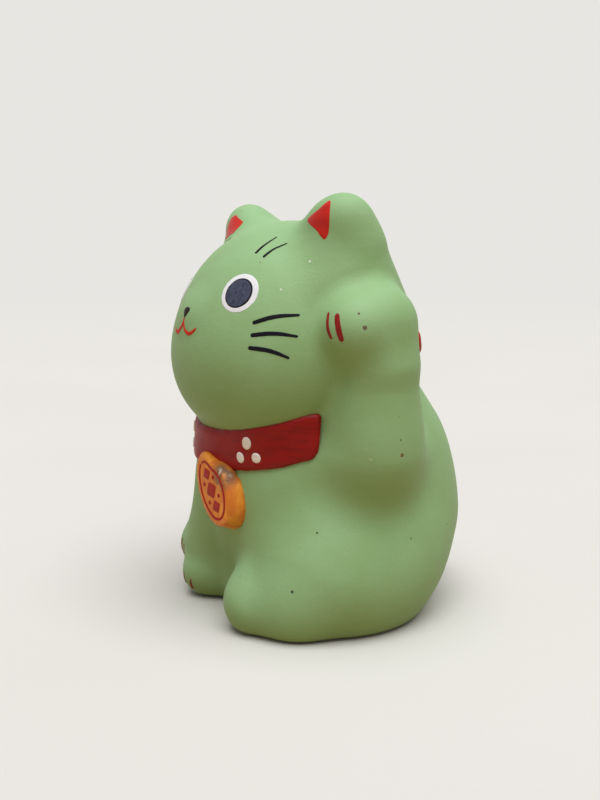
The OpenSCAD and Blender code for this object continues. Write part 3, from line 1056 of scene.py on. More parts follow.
@dataclass(frozen=True)
class GreenPaint:
    """Thin matt green paint, brushed on unglazed clay, with grain, pinholes and a few chips."""

    coat: tuple = rgb(151, 192, 140)
    thin: tuple = rgb(144, 183, 127)
    full: tuple = rgb(160, 199, 152)
    clay: tuple = rgb(92, 74, 44)
    foot: tuple = rgb(150, 108, 72)
    chips: tuple[Chip, ...] = (
        Chip((26.1, -5.1, 50.5), 0.62, rgb(112, 98, 74)), Chip((25.1, -5.5, 52.6), 0.3, EARTH),
        Chip((27.3, 1.2, 31.0), 0.58, rgb(122, 108, 70)), Chip((18.7, -13.1, 9.4), 0.42, LEAF),
        Chip((19.1, -8.8, 18.3), 0.3, LEAF), Chip((15.2, -7.7, 60.1), 0.34, CHALK),
        Chip((14.1, -12.2, 55.9), 0.26, CHALK), Chip((25.5, -3.3, 30.6), 0.36, rgb(186, 208, 150)),
        Chip((6.5, 26.2, 26.0), 0.5, EARTH), Chip((-18.5, 12.0, 30.2), 0.36, LEAF),
        Chip((-17.2, 8.6, 61.5), 0.3, CHALK), Chip((-21.6, 3.4, 14.2), 0.44, EARTH))

    def material(self) -> bpy.types.Material:
        """Builds the paint."""
        g = Graph("green_paint")
        cloud = g.noise(85, 3)
        brush = g.noise(1, 3, (190, 190, 1300))
        tone = g.mix(g.ramp(cloud, 0.32, 0.68), self.thin, self.coat)
        tone = g.mix(g.ramp(brush, 0.46, 0.8, 0, 0.16), tone, self.full)
        grain = g.noise(2300, 3)
        tone = g.mix(g.ramp(grain, 0.62, 0.4, 0, 0.12), tone, self.thin)
        swell = g.noise(420, 2)
        pits = g.add("ShaderNodeTexVoronoi", {"Vector": g.here, "Scale": 330.0, "Randomness": 1.0})
        chance = g.add("ShaderNodeSeparateColor", {0: pits.outputs["Color"]}).outputs[0]
        rare = g.ramp(chance, 0.90, 0.92)
        hollow = g.math("MULTIPLY", g.ramp(pits.outputs["Distance"], 0.075, 0.03), rare)
        tone = g.mix(g.math("MULTIPLY", hollow, 0.75), tone, self.clay)
        ragged = g.ramp(g.noise(2600, 2), 0.3, 0.7, 0.45, 1.0)
        for chip in self.chips:
            spot = array(chip.spot)
            around = g.math("MULTIPLY", g.near(spot, 0.5 * chip.size, 1.5 * chip.size), ragged)
            lip = g.ramp(around, 0.25, 0.5)
            tone = g.mix(g.math("MULTIPLY", lip, 0.35), tone, self.full)
            within = g.math("MULTIPLY", g.near(spot, 0.2 * chip.size, chip.size), ragged)
            mark = g.ramp(within, 0.3, 0.5)
            tone = g.mix(mark, tone, chip.colour)
            hollow = g.math("MAXIMUM", hollow, mark)
        foot = g.math("ADD", g.height(), g.math("MULTIPLY", g.noise(260, 2), 0.0006))
        tone = g.mix(g.ramp(foot, 0.00075, 0.0005), tone, self.foot)
        g.colour(tone)
        g.relief((swell, 0.05), (brush, 0.005), (grain, 0.03), (g.math("SUBTRACT", 1.0, hollow), 0.05))
        return g.surface(g.ramp(cloud, 0.3, 0.7, 0.54, 0.64), 0.36)


@dataclass(frozen=True)
class BrushPaint:
    """Opaque brushed paint of one colour, with streaks along one axis."""

    name: str
    coat: tuple
    streak: tuple
    roughness: float = 0.5
    stretch: Triple = (260, 260, 1400)
    share: float = 0.6
    relief: float = 0.02
    specular: float = 0.22

    def material(self) -> bpy.types.Material:
        """Builds the paint."""
        g = Graph(self.name)
        lines = g.noise(1, 3, self.stretch, 0.6)
        cloud = g.noise(240, 2)
        tone = g.mix(g.ramp(lines, 0.42, 0.68, 0, self.share), self.coat, self.streak)
        g.colour(tone)
        g.relief((lines, self.relief), (g.noise(1900, 2), 0.012))
        return g.surface(g.ramp(cloud, 0.3, 0.7, self.roughness - 0.06, self.roughness + 0.07),
                         self.specular)


# The brushed paints, by what they are used for
PAINTS = {
    "collar": BrushPaint("collar_red", rgb(156, 14, 10), rgb(128, 8, 10), 0.42, specular=0.25),
    # The bow is the collar's red paint, made lighter and more orange here: painted orange reflection along
    # its rim.
    "bow": BrushPaint("bow_red", rgb(186, 50, 26), rgb(150, 30, 20), 0.5),
    "white": BrushPaint("eye_white", rgb(240, 243, 250), rgb(228, 232, 242), 0.5),
    "pupil": BrushPaint("pupil_slate", rgb(68, 73, 96), rgb(44, 46, 66), 0.55, (2400, 2400, 150), 0.9),
    "black": BrushPaint("line_black", rgb(8, 7, 15), rgb(16, 15, 28), 0.55, specular=0.14),
    "nose": BrushPaint("nose_umber", rgb(26, 12, 9), rgb(12, 7, 7), 0.5, specular=0.12),
    "mouth": BrushPaint("mouth_red", rgb(216, 46, 24), rgb(190, 30, 20), 0.5, specular=0.14),
    "ear": BrushPaint("ear_red", rgb(208, 36, 22), rgb(188, 26, 18), 0.34, specular=0.25),
    "mark": BrushPaint("mark_red", rgb(146, 28, 22), rgb(120, 18, 16), 0.42),
    "dot": BrushPaint("dot_white", rgb(252, 250, 255), rgb(244, 240, 246), 0.36, specular=0.5),
    "ornament": BrushPaint("coin_red", rgb(178, 40, 26), rgb(150, 28, 20), 0.45),
}


@dataclass(frozen=True)
class GoldPaint:
    """Bronze-gold paint on the coin, streaked by the brush and rubbed dark at its upper corner, with a
    painted highlight inside the rubbed patch.
    """

    gold: tuple = rgb(245, 160, 50)
    deep: tuple = rgb(222, 124, 40)
    rubbed: tuple = rgb(112, 84, 62)
    painted_highlight: tuple = rgb(222, 204, 180)
    crest: Triple = (4.7, -17.6, 25.7)

    def material(self) -> bpy.types.Material:
        """Builds the paint."""
        g = Graph("gold_paint")
        lines = g.noise(1, 4, (900, 300, 240), 0.65)
        patch = g.noise(520, 3)
        tone = g.mix(g.ramp(lines, 0.38, 0.64), self.deep, self.gold)
        wear = g.math("MULTIPLY", g.near(array(self.crest), 0.9, 3.4), g.ramp(patch, 0.32, 0.55, 0.4, 1))
        tone = g.mix(wear, tone, self.rubbed)
        # Painted highlight: a pale spot at the coin's upper corner, standing in for light caught there.
        painted_glint = g.math("MULTIPLY", g.near(array(self.crest), 0.5, 1.7), g.ramp(patch, 0.52, 0.6))
        tone = g.mix(painted_glint, tone, self.painted_highlight)
        g.colour(tone)
        g.relief((lines, 0.035), (patch, 0.04))
        return g.surface(g.ramp(patch, 0.3, 0.7, 0.4, 0.56), 0.4, metallic=0.2)


@dataclass(frozen=True)
class BareClay:
    """Unpainted fired clay of the base disc, with grain, finger marks and dark specks."""

    clay: tuple = rgb(176, 130, 90)
    pale: tuple = rgb(198, 156, 116)
    speck: tuple = rgb(84, 58, 40)

    def material(self) -> bpy.types.Material:
        """Builds the clay."""
        g = Graph("bare_clay")
        cloud = g.noise(120, 4)
        grain = g.noise(1700, 3)
        dots = g.add("ShaderNodeTexVoronoi", {"Vector": g.here, "Scale": 900.0}).outputs["Distance"]
        tone = g.mix(g.ramp(cloud, 0.35, 0.65), self.clay, self.pale)
        tone = g.mix(g.ramp(dots, 0.16, 0.06, 0, 0.7), tone, self.speck)
        g.colour(tone)
        g.relief((g.noise(210, 2), 0.12), (grain, 0.05))
        return g.surface(0.85, 0.25)


# ---------------------------------------------------------------- the clay body


@dataclass
class ClayBody:
    """The pressed shells, the luted arm and the tail under one coat of green paint."""

    form: CatForm
    grains: Pair = (0.6, 0.38)
    disc_gap: float = 0.06
    vent_r: float = 4.1
    vent_y: float = 9.0
    hollows: tuple[Egg, ...] = (Egg((0, 4.6, 17.4), (16.6, 15.4, 14.6)), Egg((0, -1.0, 44), (13, 12.4, 17)))
    arm_start: Egg = Egg((20, -1, 38), (12, 12, 24))
    arm_margin: float = 0.9
    tail_start: Egg = Egg((0.2, 27.4, 10.6), (7, 7, 10))
    tail_margin: float = 0.55
    luted_grain: float = 0.6
    slab_size: float = 100.0
    slab_z: float = 30.0
    on_skin: float = 0.03
    pieces: dict[str, bpy.types.Object] = field(default_factory=dict)

    def build(self) -> None:
        """Models the skin, hollows it and parts it into its four pieces."""
        skin = self.skin()
        for cutter in self.cutters():
            cut(skin, cutter, "DIFFERENCE")
        arm = self.region("raised_arm_clay", self.form.arm, self.arm_start, self.arm_margin)
        tail = self.region("bob_tail_clay", self.form.bob.distance, self.tail_start, self.tail_margin)
        self.pieces["raised_arm"] = self.part(skin, arm)
        self.pieces["bob_tail"] = self.part(skin, tail)
        half = self.slab()
        self.pieces["front_shell"] = self.part(skin, half)
        self.pieces["back_shell"] = skin
        for node, piece in self.pieces.items():
            piece.name = piece.data.name = node.replace("shell", "body") + "_painted"
            self.shade(piece)
            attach(piece, "root")
            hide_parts(node)
            LOG.info("%s: %d vertices", piece.name, len(piece.data.vertices))

    def skin(self) -> bpy.types.Object:
        """The closed outer skin, from copies of the CAD solids, remeshed and pressed to the form."""
        copies = [copy_of(n) for n in ("front_shell", "back_shell", "raised_arm", "bob_tail", "base_disc")]
        copies.append(drum("vent_plug", self.vent_r + 0.5, 0.1, 2.9, self.vent_y, 32))
        skin = join(copies, "clay_skin")
        for voxel in self.grains:
            remesh(skin, voxel)
            keep_outside(skin)
            write_points(skin, self.form.settle(read_points(skin), turns=5))
        return skin

    def cutters(self) -> list[bpy.types.Object]:
        """The base disc's recess, the way of the vent and the hollow, as solids to cut with."""
        disc = copy_of("base_disc")
        points = read_points(disc)
        middle = (points.min(0) + points.max(0)) / 2
        grow = 1 + self.disc_gap / (points.max(0) - middle)[0]
        places = middle + (points - middle) * np.array((grow, grow, 1.0))
        places[:, 2] = np.where(points[:, 2] < 1, -1.0, points[:, 2] + self.disc_gap)
        write_points(disc, places)
        vent = drum("vent_way", self.vent_r, -1, 8, self.vent_y, 48)
        return [disc, vent] + [ball(f"hollow_{i}", egg) for i, egg in enumerate(self.hollows)]

    def region(self, name: str, shape: Shape, start: Egg, margin: float) -> bpy.types.Object:
        """A solid round a luted form, grown by a margin, that parts it from the shells.

        Args:
            name: The new solid's name.
            shape: Distance to the luted form.
            start: The egg that is drawn in to the form.
            margin: How far the solid reaches beyond the form.

        Returns:
            The solid.
        """
        piece = ball(name, start)
        for turns in (14, 3):
            remesh(piece, self.luted_grain)
            points = read_points(piece)
            for _ in range(turns):
                gap = np.clip(shape(points) - margin, -2, 2)
                points -= self.form.slope(points, shape) * gap[:, None]
            write_points(piece, points)
        return piece

    def slab(self) -> bpy.types.Object:
        """A block that holds all in front of the upright seam."""
        clear_selection()
        size = self.slab_size / METRE
        middle = (0, self.form.seam_y / METRE - size / 2, self.slab_z / METRE)
        bpy.ops.mesh.primitive_cube_add(size=size, location=middle)
        piece = named("front_half")
        place_in_mesh(piece)
        return piece

    def part(self, body: bpy.types.Object, tool: bpy.types.Object) -> bpy.types.Object:
        """Takes what lies inside a tool solid out of the body, as a piece of its own."""
        piece = body.copy()
        piece.data = body.data.copy()
        bpy.context.scene.collection.objects.link(piece)
        cut(piece, tool, "INTERSECT", keep=True)
        cut(body, tool, "DIFFERENCE")
        return piece

    def shade(self, piece: bpy.types.Object) -> None:
        """Gives the skin the form's own normals, so that its luted seams don't show."""
        mesh = piece.data
        smooth(piece, 40)
        points = read_points(piece)
        on_skin = np.abs(self.form.skin(points)) < self.on_skin
        exact = self.form.normals(points)
        corners = np.zeros(len(mesh.loops), np.int32)
        mesh.loops.foreach_get("vertex_index", corners)
        plain = np.zeros(len(mesh.loops) * 3, np.float32)
        mesh.corner_normals.foreach_get("vector", plain)
        plain = plain.reshape(-1, 3)
        flats = np.zeros(len(mesh.polygons) * 3, np.float32)
        mesh.polygons.foreach_get("normal", flats)
        totals = np.zeros(len(mesh.polygons), np.int32)
        mesh.polygons.foreach_get("loop_total", totals)
        face = np.repeat(flats.reshape(-1, 3), totals, axis=0)
        wanted = exact[corners]
        outer = on_skin[corners] & ((wanted * face).sum(1) > 0.75)
        mesh.normals_split_custom_set(np.where(outer[:, None], wanted, plain).tolist())


# ---------------------------------------------------------------- collar, bow and coin


@dataclass
class Collar:
    """The red collar in low relief, with groups of three white dots."""

    form: CatForm
    width: float = 6.8
    thick: float = 0.7
    front_z: float = 29.4
    nape_z: float = 44.6
    start: float = 40.5
    end: float = 331.6
    corner: float = 1.6
    slant: float = 1.0
    taut: float = 0.8
    neck_r: float = 17.5
    flare: float = 0.09
    flare_from: float = 285.0
    flare_over: float = 30.0
    end_pinch: float = 0.2
    rim: float = 0.04
    sheet: float = 0.4
    dab: Film = Film(0.2, 0.03, 0.12)
    groups: tuple[float, ...] = (138.0, 187.0, 246.0)
    dots: tuple[tuple[float, float, float, float, float], ...] = (
        (-0.38, 0.7, 0.86, 1.1, -14), (-1.95, -1.9, 0.78, 0.92, 4), (1.2, -1.6, 0.84, 0.86, 0))

    def middle_z(self, bearing: np.ndarray) -> np.ndarray:
        """Height of the collar's middle line at each bearing, in radians."""
        return self.front_z + (self.nape_z - self.front_z) * (1 + np.sin(bearing)) / 2

    def incline(self, bearing: float) -> float:
        """How steeply the collar climbs round the neck at a bearing, in radians."""
        return math.atan2((self.nape_z - self.front_z) / 2 * math.cos(bearing), self.neck_r)

    def bed(self, bearing: np.ndarray, height: np.ndarray,
            half: np.ndarray) -> tuple[np.ndarray, np.ndarray, np.ndarray]:
        """Where the strip lies: on the neck, and drawn nearly straight over its hollow.

        Args:
            bearing: Angle round the axis, in radians, for each place.
            height: Height of each place.
            half: Half of the strip's width there.

        Returns:
            The places on the neck, the way out from the axis, and how far off the neck the strip lies.
        """
        places = self.form.reach(bearing, height)
        middle = self.middle_z(bearing)
        low = self.form.reach(bearing, middle - half)
        high = self.form.reach(bearing, middle + half)
        chord = low + (high - low) * np.clip((height - middle + half) / (2 * half), 0, 1)[:, None]
        way = outward(bearing)
        return places, way, self.taut * np.clip(((chord - places) * way).sum(1), 0, None)

    def build(self) -> bpy.types.Object:
        """Models the strip on the neck, with rounded ends and a hand-cut edge."""
        piece, own = grid("collar_painted", 300, 22)
        bearing = np.radians((self.start + self.end) / 2 + own[:, 0] * (self.end - self.start) / 2)
        length = math.radians(self.end - self.start) * self.neck_r
        to_end = (1 - np.abs(own[:, 0])) * length / 2
        bend = np.clip(1 - to_end / self.corner, 0, 1)
        flare = np.clip((np.degrees(bearing) - self.flare_from) / self.flare_over, 0, 1)
        pinch = 1 - np.sqrt(np.clip(1 - bend**2.4, 0, 1))
        half = self.width / 2 * (1 + self.flare * flare) * (1 - self.end_pinch * pinch)
        edge = 0.1 * waver(own[:, 0] * length, 3.1, 0.35) + 0.05 * waver(own[:, 0] * length, 8.2, 1.1)
        across = np.sign(own[:, 1]) * (1 - (1 - np.abs(own[:, 1])) ** 1.5)
        height = self.middle_z(bearing) + across * half + edge * np.abs(across)
        swell = 0.012 * np.sqrt(np.clip(1 - (own[:, 1]) ** 2, 0, 1)) + math.radians(self.slant) * own[:, 1]
        bearing = bearing + swell * bend * np.sign(own[:, 0])
        places, way, gap = self.bed(bearing, height, half)
        places = places + way * gap[:, None]
        share = np.maximum(np.abs(across), np.where(bend > 0, bend**3, 0))
        rise = self.rim + (self.thick - self.rim) * np.clip(1 - share**10, 0, 1) ** 0.5
        write_points(piece, places + self.form.normals(places) * rise[:, None])
        in_edit_mode(piece, partial(bpy.ops.mesh.normals_make_consistent, inside=False))
        thicken(piece, self.sheet, 50)
        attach(piece, "root")
        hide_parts("collar")
        return piece

    def paint_dots(self, painter: Painter, collar: bpy.types.Object) -> list[bpy.types.Object]:
        """Dabs the groups of white dots on the finished collar.

        Args:
            painter: Who paints, with the collar as its ground.
            collar: The finished collar.

        Returns:
            One piece for each group.
        """
        strip = tree_of(collar)
        seen = painter.local("collar_dots", strip)
        bearing = math.atan2(seen.place[1] - self.form.seam_y, seen.place[0])
        drop = seen.place[2] - float(self.middle_z(np.array([bearing]))[0])
        groups = []
        for number, degrees in enumerate((math.degrees(bearing), *self.groups)):
            tilt = self.incline(math.radians(degrees)) - self.incline(bearing)
            turn = np.radians(np.array([degrees]))
            place = self.form.reach(turn, self.middle_z(turn) + drop)[0]
            local = painter.local_at(place, strip) if number else seen
            parts = []
            for x, y, half_w, half_h, lean in self.dots:
                lean += 8 * noise.noise(Vector((degrees, x, y))) + math.degrees(tilt)
                spot = (x * math.cos(tilt) - y * math.sin(tilt), x * math.sin(tilt) + y * math.cos(tilt))
                shape = oval(half_w, half_h, spot, lean)
                parts.append(painter.blot("dab", local, shape, self.dab, grain=14))
            groups.append(join(parts, f"collar_dots_{number}"))
        return groups


@dataclass
class NapeBow:
    """The clay bow at the nape: a knot and two loops, pressed onto the back of the collar."""

    form: CatForm
    collar: Collar
    span: float = 21.0
    tall: float = 6.4
    deep: float = 4.8
    lift: float = 1.9
    neck_r: float = 15.5
    knot: float = 0.2
    waist_tall: float = 0.46
    knot_tall: float = 0.26
    loop_tall: float = 0.54
    waist_deep: float = 0.3
    knot_deep: float = 0.72
    loop_deep: float = 0.76
    round_from: float = 0.8
    dimple: float = 0.1
    fold: float = 0.05
    clear: float = 0.25
    sheet: float = 0.9

    def build(self) -> bpy.types.Object:
        """Models the bow as one sheet of clay with loops, dimples, folds and a knot."""
        piece, own = grid("nape_bow_painted", 110, 48)
        u, v = np.abs(own[:, 0]), own[:, 1]
        knot = np.cos(np.pi / 2 * np.clip(u / self.knot, 0, 1))
        loop = np.sin(np.pi * np.clip((u - self.knot) / (1 - self.knot), 0, 1) ** 1.4)
        half = self.tall / 2 * (self.waist_tall + self.knot_tall * knot + self.loop_tall * loop)
        tip = np.clip((u - self.round_from) / (1 - self.round_from), 0, 1)
        half *= np.sqrt(np.clip(1 - tip**2.4, 0.03, 1))
        bearing = np.pi / 2 - own[:, 0] * math.atan2(self.span / 2, self.neck_r)
        height = self.collar.nape_z + self.lift * u + v * half
        places, way, gap = self.collar.bed(bearing, height, np.full(len(u), self.collar.width / 2))
        body = self.waist_deep + self.knot_deep * knot + self.loop_deep * loop
        dimple = self.dimple * np.exp(-(((u - 0.64) / 0.15) ** 2)) * np.exp(-((v / 0.4) ** 2))
        folds = self.fold * np.cos(v * 3 * np.pi) * np.exp(-(((u - 0.32) / 0.1) ** 2))
        rise = self.deep * (body - dimple + folds) * (0.18 + 0.82 * np.sqrt(np.clip(1 - v**2, 0, 1)))
        rise = self.collar.thick + np.maximum(rise, gap + self.clear)
        write_points(piece, places + way * rise[:, None])
        in_edit_mode(piece, partial(bpy.ops.mesh.normals_make_consistent, inside=False))
        thicken(piece, self.sheet, 60)
        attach(piece, "root")
        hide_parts("nape_bow")
        return piece


@dataclass
class Coin:
    """The thick oval gold coin that hangs askew on the chest, with a plain painted ornament."""

    form: CatForm
    collar: Collar
    hang: Triple = (2.1, -17.2, 23)
    face: Triple = (0.1, -0.994, 0.05)
    rise: Triple = (-0.548, -0.013, 0.836)
    length: float = 14.4
    width: float = 9.6
    bevel: float = 0.8
    foot: float = 0.4
    edge: float = 0.68
    crown: float = 0.5
    face_rise: float = 0.1
    trim: float = 0.27
    trim_at: float = 52.0
    trim_over: float = 34.0
    sunk: float = 0.3
    soft_edge: float = 0.26
    rings: tuple[float, ...] = (0.86, 0.82, 0.76, 0.68, 0.5)
    collar_below: float = 1.8
    collar_ease: float = 1.5
    line: Film = Film(0.09, 0.03)
    ring_half: Pair = (3.05, 5.25)
    ring_widths: tuple[float, ...] = (0.42, 0.5, 0.46, 0.52, 0.4)
    lozenge_half: Pair = (1.35, 1.3)
    lozenges: tuple[Pair, ...] = ((0.8, 2.7), (1.1, -0.2), (0.86, -3.1))
    spot_half: Pair = (0.34, 0.36)
    spots: tuple[Pair, ...] = ((1.3, 1.45), (-1.65, 1.45), (-1.65, -1.8), (1.4, -1.8))

    def axes(self) -> tuple[np.ndarray, np.ndarray, np.ndarray]:
        """Across, along and out of the coin's face."""
        out = array(self.face) / np.linalg.norm(self.face)
        along = array(self.rise) - (array(self.rise) @ out) * out
        along /= np.linalg.norm(along)
        return np.cross(along, out), along, out

    def depth(self, places: np.ndarray) -> np.ndarray:
        """How far behind each place the chest or the collar lies, along the coin's face."""
        out = self.axes()[2]

        def clear(depths: np.ndarray) -> np.ndarray:
            """Whether the places this far behind lie in the open."""
            points = places - depths[:, None] * out
            bearing = np.arctan2(points[:, 1] - self.form.seam_y, points[:, 0])
            over = points[:, 2] - self.collar.middle_z(bearing) + self.collar.width / 2 + self.collar_below
            strip = self.collar.thick * np.clip(over / self.collar_ease, 0, 1)
            return self.form.figure(points) - strip > 0

        far = np.full(len(places), self.length / 2)
        return last_true(-far, far, clear, turns=16)

    def build(self) -> bpy.types.Object:
        """Models the coin from a disc: rim, bevel, flat face and a back that sits on the chest."""
        clear_selection()
        bpy.ops.mesh.primitive_circle_add(vertices=96, radius=0.001, fill_type="NGON")
        piece = named("coin_gilded")
        inner = (1 - 2 * self.bevel / self.width, 1 - 2 * self.bevel / self.length)
        steps = [partial(raise_face, 0.001, 1, 1), partial(raise_face, 0.001, *inner)]
        steps += [partial(raise_face, 0.00002, share, share) for share in self.rings]
        in_edit_mode(piece, *steps, bpy.ops.mesh.poke)
        self.seat(piece)
        finish_with(piece, "BEVEL", width=self.soft_edge / METRE, segments=3, limit_method="ANGLE",
                    angle_limit=math.radians(18))
        smooth(piece, 35)
        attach(piece, "root")
        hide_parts("coin")
        return piece

    def seat(self, piece: bpy.types.Object) -> None:
        """Turns the flat blank into the oval coin and sits its back on the chest."""
        across, along, out = self.axes()
        own = read_points(piece)
        own[:, :2] = self.trimmed(own[:, :2])
        flat = own[:, :1] * across * self.width / 2 + own[:, 1:2] * along * self.length / 2
        places = array(self.hang) + flat
        stand = self.edge - self.depth(places).min()
        level = np.interp(own[:, 2], (1, 2, 2.1), (0, self.crown - self.face_rise, self.crown))
        places = places + out * (stand + level)[:, None]
        sunk = np.interp(own[:, 2], (0, 1), (self.sunk, -self.foot))
        low = own[:, 2] < 1.5
        places[low] -= (self.depth(places[low]) + sunk[low])[:, None] * out
        write_points(piece, places)
        self.middle = Local(array(self.hang) + out * (stand + self.crown), across, along, out)

    def trimmed(self, flat: np.ndarray) -> np.ndarray:
        """Places in the coin's plane, drawn in where its upper corner is cut off."""
        turn = np.degrees(np.arctan2(flat[:, 1], flat[:, 0]))
        off = (np.mod(turn - self.trim_at + 180, 360) - 180) / self.trim_over
        return flat * (1 - self.trim * np.exp(-off**2))[:, None]

    def ornament(self, painter: Painter) -> list[bpy.types.Object]:
        """Paints a plain ornament on the face: an oval ring, three lozenges and four dots.

        Args:
            painter: Who paints, with the coin as its ground.

        Returns:
            The painted pieces.
        """
        half = np.array((self.width, self.length)) / 2
        path = self.trimmed(np.array(ring(*self.ring_half, 110)) / half) * half
        made = [painter.stroke("coin_ring", self.middle, path, self.ring_widths, self.line,
                               grain=(140, 6))]
        for number, (size, y) in enumerate(self.lozenges):
            shape = lozenge(self.lozenge_half[0] * size, self.lozenge_half[1] * size, (-0.15, y))
            made.append(painter.blot(f"coin_lozenge_{number}", self.middle, shape, self.line, grain=20))
        for number, spot in enumerate(self.spots):
            shape = oval(*self.spot_half, spot)
            made.append(painter.blot(f"coin_dot_{number}", self.middle, shape, self.line, grain=10))
        return made


# ---------------------------------------------------------------- painted face and marks


@dataclass
class Face:
    """The painted face: eyes, nose, mouth, whiskers, brow marks and the red of the ears."""

    white: Film = Film(0.07, 0.035)
    dark: Film = Film(0.092, 0.072)
    rim: Film = Film(0.106, 0.086)
    line: Film = Film(0.085, 0.03)
    eye_r: float = 3.27
    eye_at: Pair = (-0.15, 0.08)
    pupil_w: float = 2.34
    pupil_h: float = 2.42
    pupil_at: Pair = (-0.28, 0.02)
    far_shift: float = 0.8
    rim_widths: tuple[float, ...] = (0.1, 0.16, 0.3, 0.26, 0.12)
    brows: tuple[Path, ...] = (
        ((-2.06, -1.49), (-1.09, 0.52), (0.32, 2.6)),
        ((-0.41, -2.4), (0.89, -0.44), (2.81, 0.77)))
    brow_widths: tuple[float, ...] = (0.52, 0.46, 0.34, 0.2)
    whiskers: tuple[Path, ...] = (
        ((-3.47, 1.98), (0.02, 2.94), (3.8, 3.31)),
        ((-3.7, 0.1), (-0.01, 0.36), (3.64, 0.02)),
        ((-4.02, -1.76), (-0.55, -2.27), (2.43, -3.28)))
    whisker_widths: tuple[float, ...] = (0.62, 0.7, 0.6, 0.36)
    ears: tuple[Path, ...] = (
        ((1.75, 0), (1.6, 1.5), (1.3, 2.6), (0.8, 3.05), (0.2, 2.6), (-0.85, 1.6), (-2.2, 0.8), (-3.0, 0.25),
         (-2.7, -0.25), (-0.67, -1.5), (0.4, -2.5), (1.05, -2.9), (1.5, -2.3), (1.7, -1.2)),
        ((1.7, 1.0), (1.0, 1.45), (-0.25, 1.9), (-1.3, 2.4), (-2.2, 2.1), (-2.8, 0.8), (-3.0, -0.8),
         (-2.7, -1.9), (-2.0, -2.1), (-0.6, -1.75), (0.9, -1.3), (1.5, -0.3)))
    nose: Path = ((0.62, 0.5), (0.35, 0.9), (-0.3, 1.0), (-0.95, 0.85), (-1.18, 0.4), (-1.0, -0.1),
                  (-0.55, -0.8), (0.15, -0.15))
    mouth_far: Path = ((-0.95, 0.8), (-1.42, 0.05), (-2.2, -0.55), (-3.4, -1.15), (-4.6, -1.05),
                       (-5.4, -0.5))
    mouth_far_widths: tuple[float, ...] = (0.3, 0.46, 0.6, 0.7, 0.5, 0.26)
    mouth_near: Path = ((-0.9, 1.35), (-0.92, 0.7), (-0.68, -0.08), (-0.11, -0.76), (0.97, -1.14),
                        (2.02, -0.8), (2.91, -0.11))
    mouth_near_widths: tuple[float, ...] = (0.26, 0.36, 0.5, 0.66, 0.6, 0.28)

    def paint(self, painter: Painter) -> dict[str, list[bpy.types.Object]]:
        """Paints the face.

        Args:
            painter: Who paints.

        Returns:
            The pieces by the finish that they take.
        """
        found: dict[str, list[bpy.types.Object]] = {"white": [], "pupil": [], "black": []}
        eye = painter.local("near_eye")
        brow = painter.local("brow_marks")
        cheek = painter.local("whiskers")
        for flank in Flank:
            side = flank.name.lower()
            shift = self.far_shift if flank is Flank.FAR else 0.0
            pupil = (self.pupil_at[0] + shift, self.pupil_at[1])
            white = oval(self.eye_r, self.eye_r, self.eye_at)
            found["white"].append(painter.blot(f"eye_white_{side}", eye, white, self.white, flank, 40))
            dark = oval(self.pupil_w, self.pupil_h, pupil)
            found["pupil"].append(painter.blot(f"eye_pupil_{side}", eye, dark, self.dark, flank, 32))
            edge = moved(ring(self.pupil_w - 0.02, self.pupil_h - 0.02, 140), *pupil)
            found["black"].append(painter.stroke(f"eye_rim_{side}", eye, edge, self.rim_widths, self.rim,
                                                 flank, (120, 4)))
            for number, path in enumerate(self.brows):
                found["black"].append(painter.stroke(f"brow_{side}_{number}", brow, moved(path, shift),
                                                     self.brow_widths, self.line, flank))
            for number, path in enumerate(self.whiskers):
                found["black"].append(painter.stroke(f"whisker_{side}_{number}", cheek, path,
                                                     self.whisker_widths, self.line, flank, (40, 8)))
        found["ear"] = [painter.blot(f"ear_red_{side}", painter.local(f"{side}_ear_red"), through(path),
                                     self.line, grain=30)
                        for side, path in zip(("near", "far"), self.ears)]
        tip = painter.local("nose")
        found["nose"] = [painter.blot("nose", tip, through(self.nose), self.line, grain=18)]
        lips = painter.local("mouth")
        halves = (("far", self.mouth_far, self.mouth_far_widths),
                  ("near", self.mouth_near, self.mouth_near_widths))
        found["mouth"] = [painter.stroke(f"mouth_{side}", lips, path, widths, self.line, grain=(40, 8))
                          for side, path, widths in halves]
        return found


@dataclass
class PawMarks:
    """Dark red strokes between the toes: on the raised paw, the standing forepaw and the far foot."""

    film: Film = Film(0.085, 0.03)
    raised: tuple[Path, ...] = (
        ((-1.92, 2.18), (-1.5, -0.11), (-0.69, -1.83)),
        ((-0.1, 2.02), (0.55, -0.01), (1.15, -2.07)))
    raised_widths: tuple[tuple[float, ...], ...] = ((0.45, 0.6, 0.62, 0.5), (0.8, 0.96, 0.94, 0.8))
    claw: Path = ((0.5, 1.45), (0.12, 0.3), (0.12, -0.85))
    claw_widths: tuple[float, ...] = (0.16, 0.42, 0.6, 0.56)
    second_claw: tuple[tuple[str, float], ...] = (("forepaw_claw", -2.3), ("far_foot_claw", -1.9))
    second_up: float = 0.5

    def paint(self, painter: Painter) -> list[bpy.types.Object]:
        """Paints the strokes.

        Args:
            painter: Who paints.

        Returns:
            The strokes.
        """
        local = painter.local("paw_strokes")
        made = [painter.stroke(f"raised_paw_stroke_{i}", local, path, self.raised_widths[i], self.film)
                for i, path in enumerate(self.raised)]
        for point, aside in self.second_claw:
            base = painter.local(point)
            for number in range(2):
                shifted = base.place + number * (aside * base.across + self.second_up * base.up)
                place = painter.form.settle(shifted[None])[0]
                made.append(painter.stroke(f"{point}_{number}", painter.local_at(place), self.claw,
                                           self.claw_widths, self.film, grain=(20, 6)))
        return made


# ---------------------------------------------------------------- studio


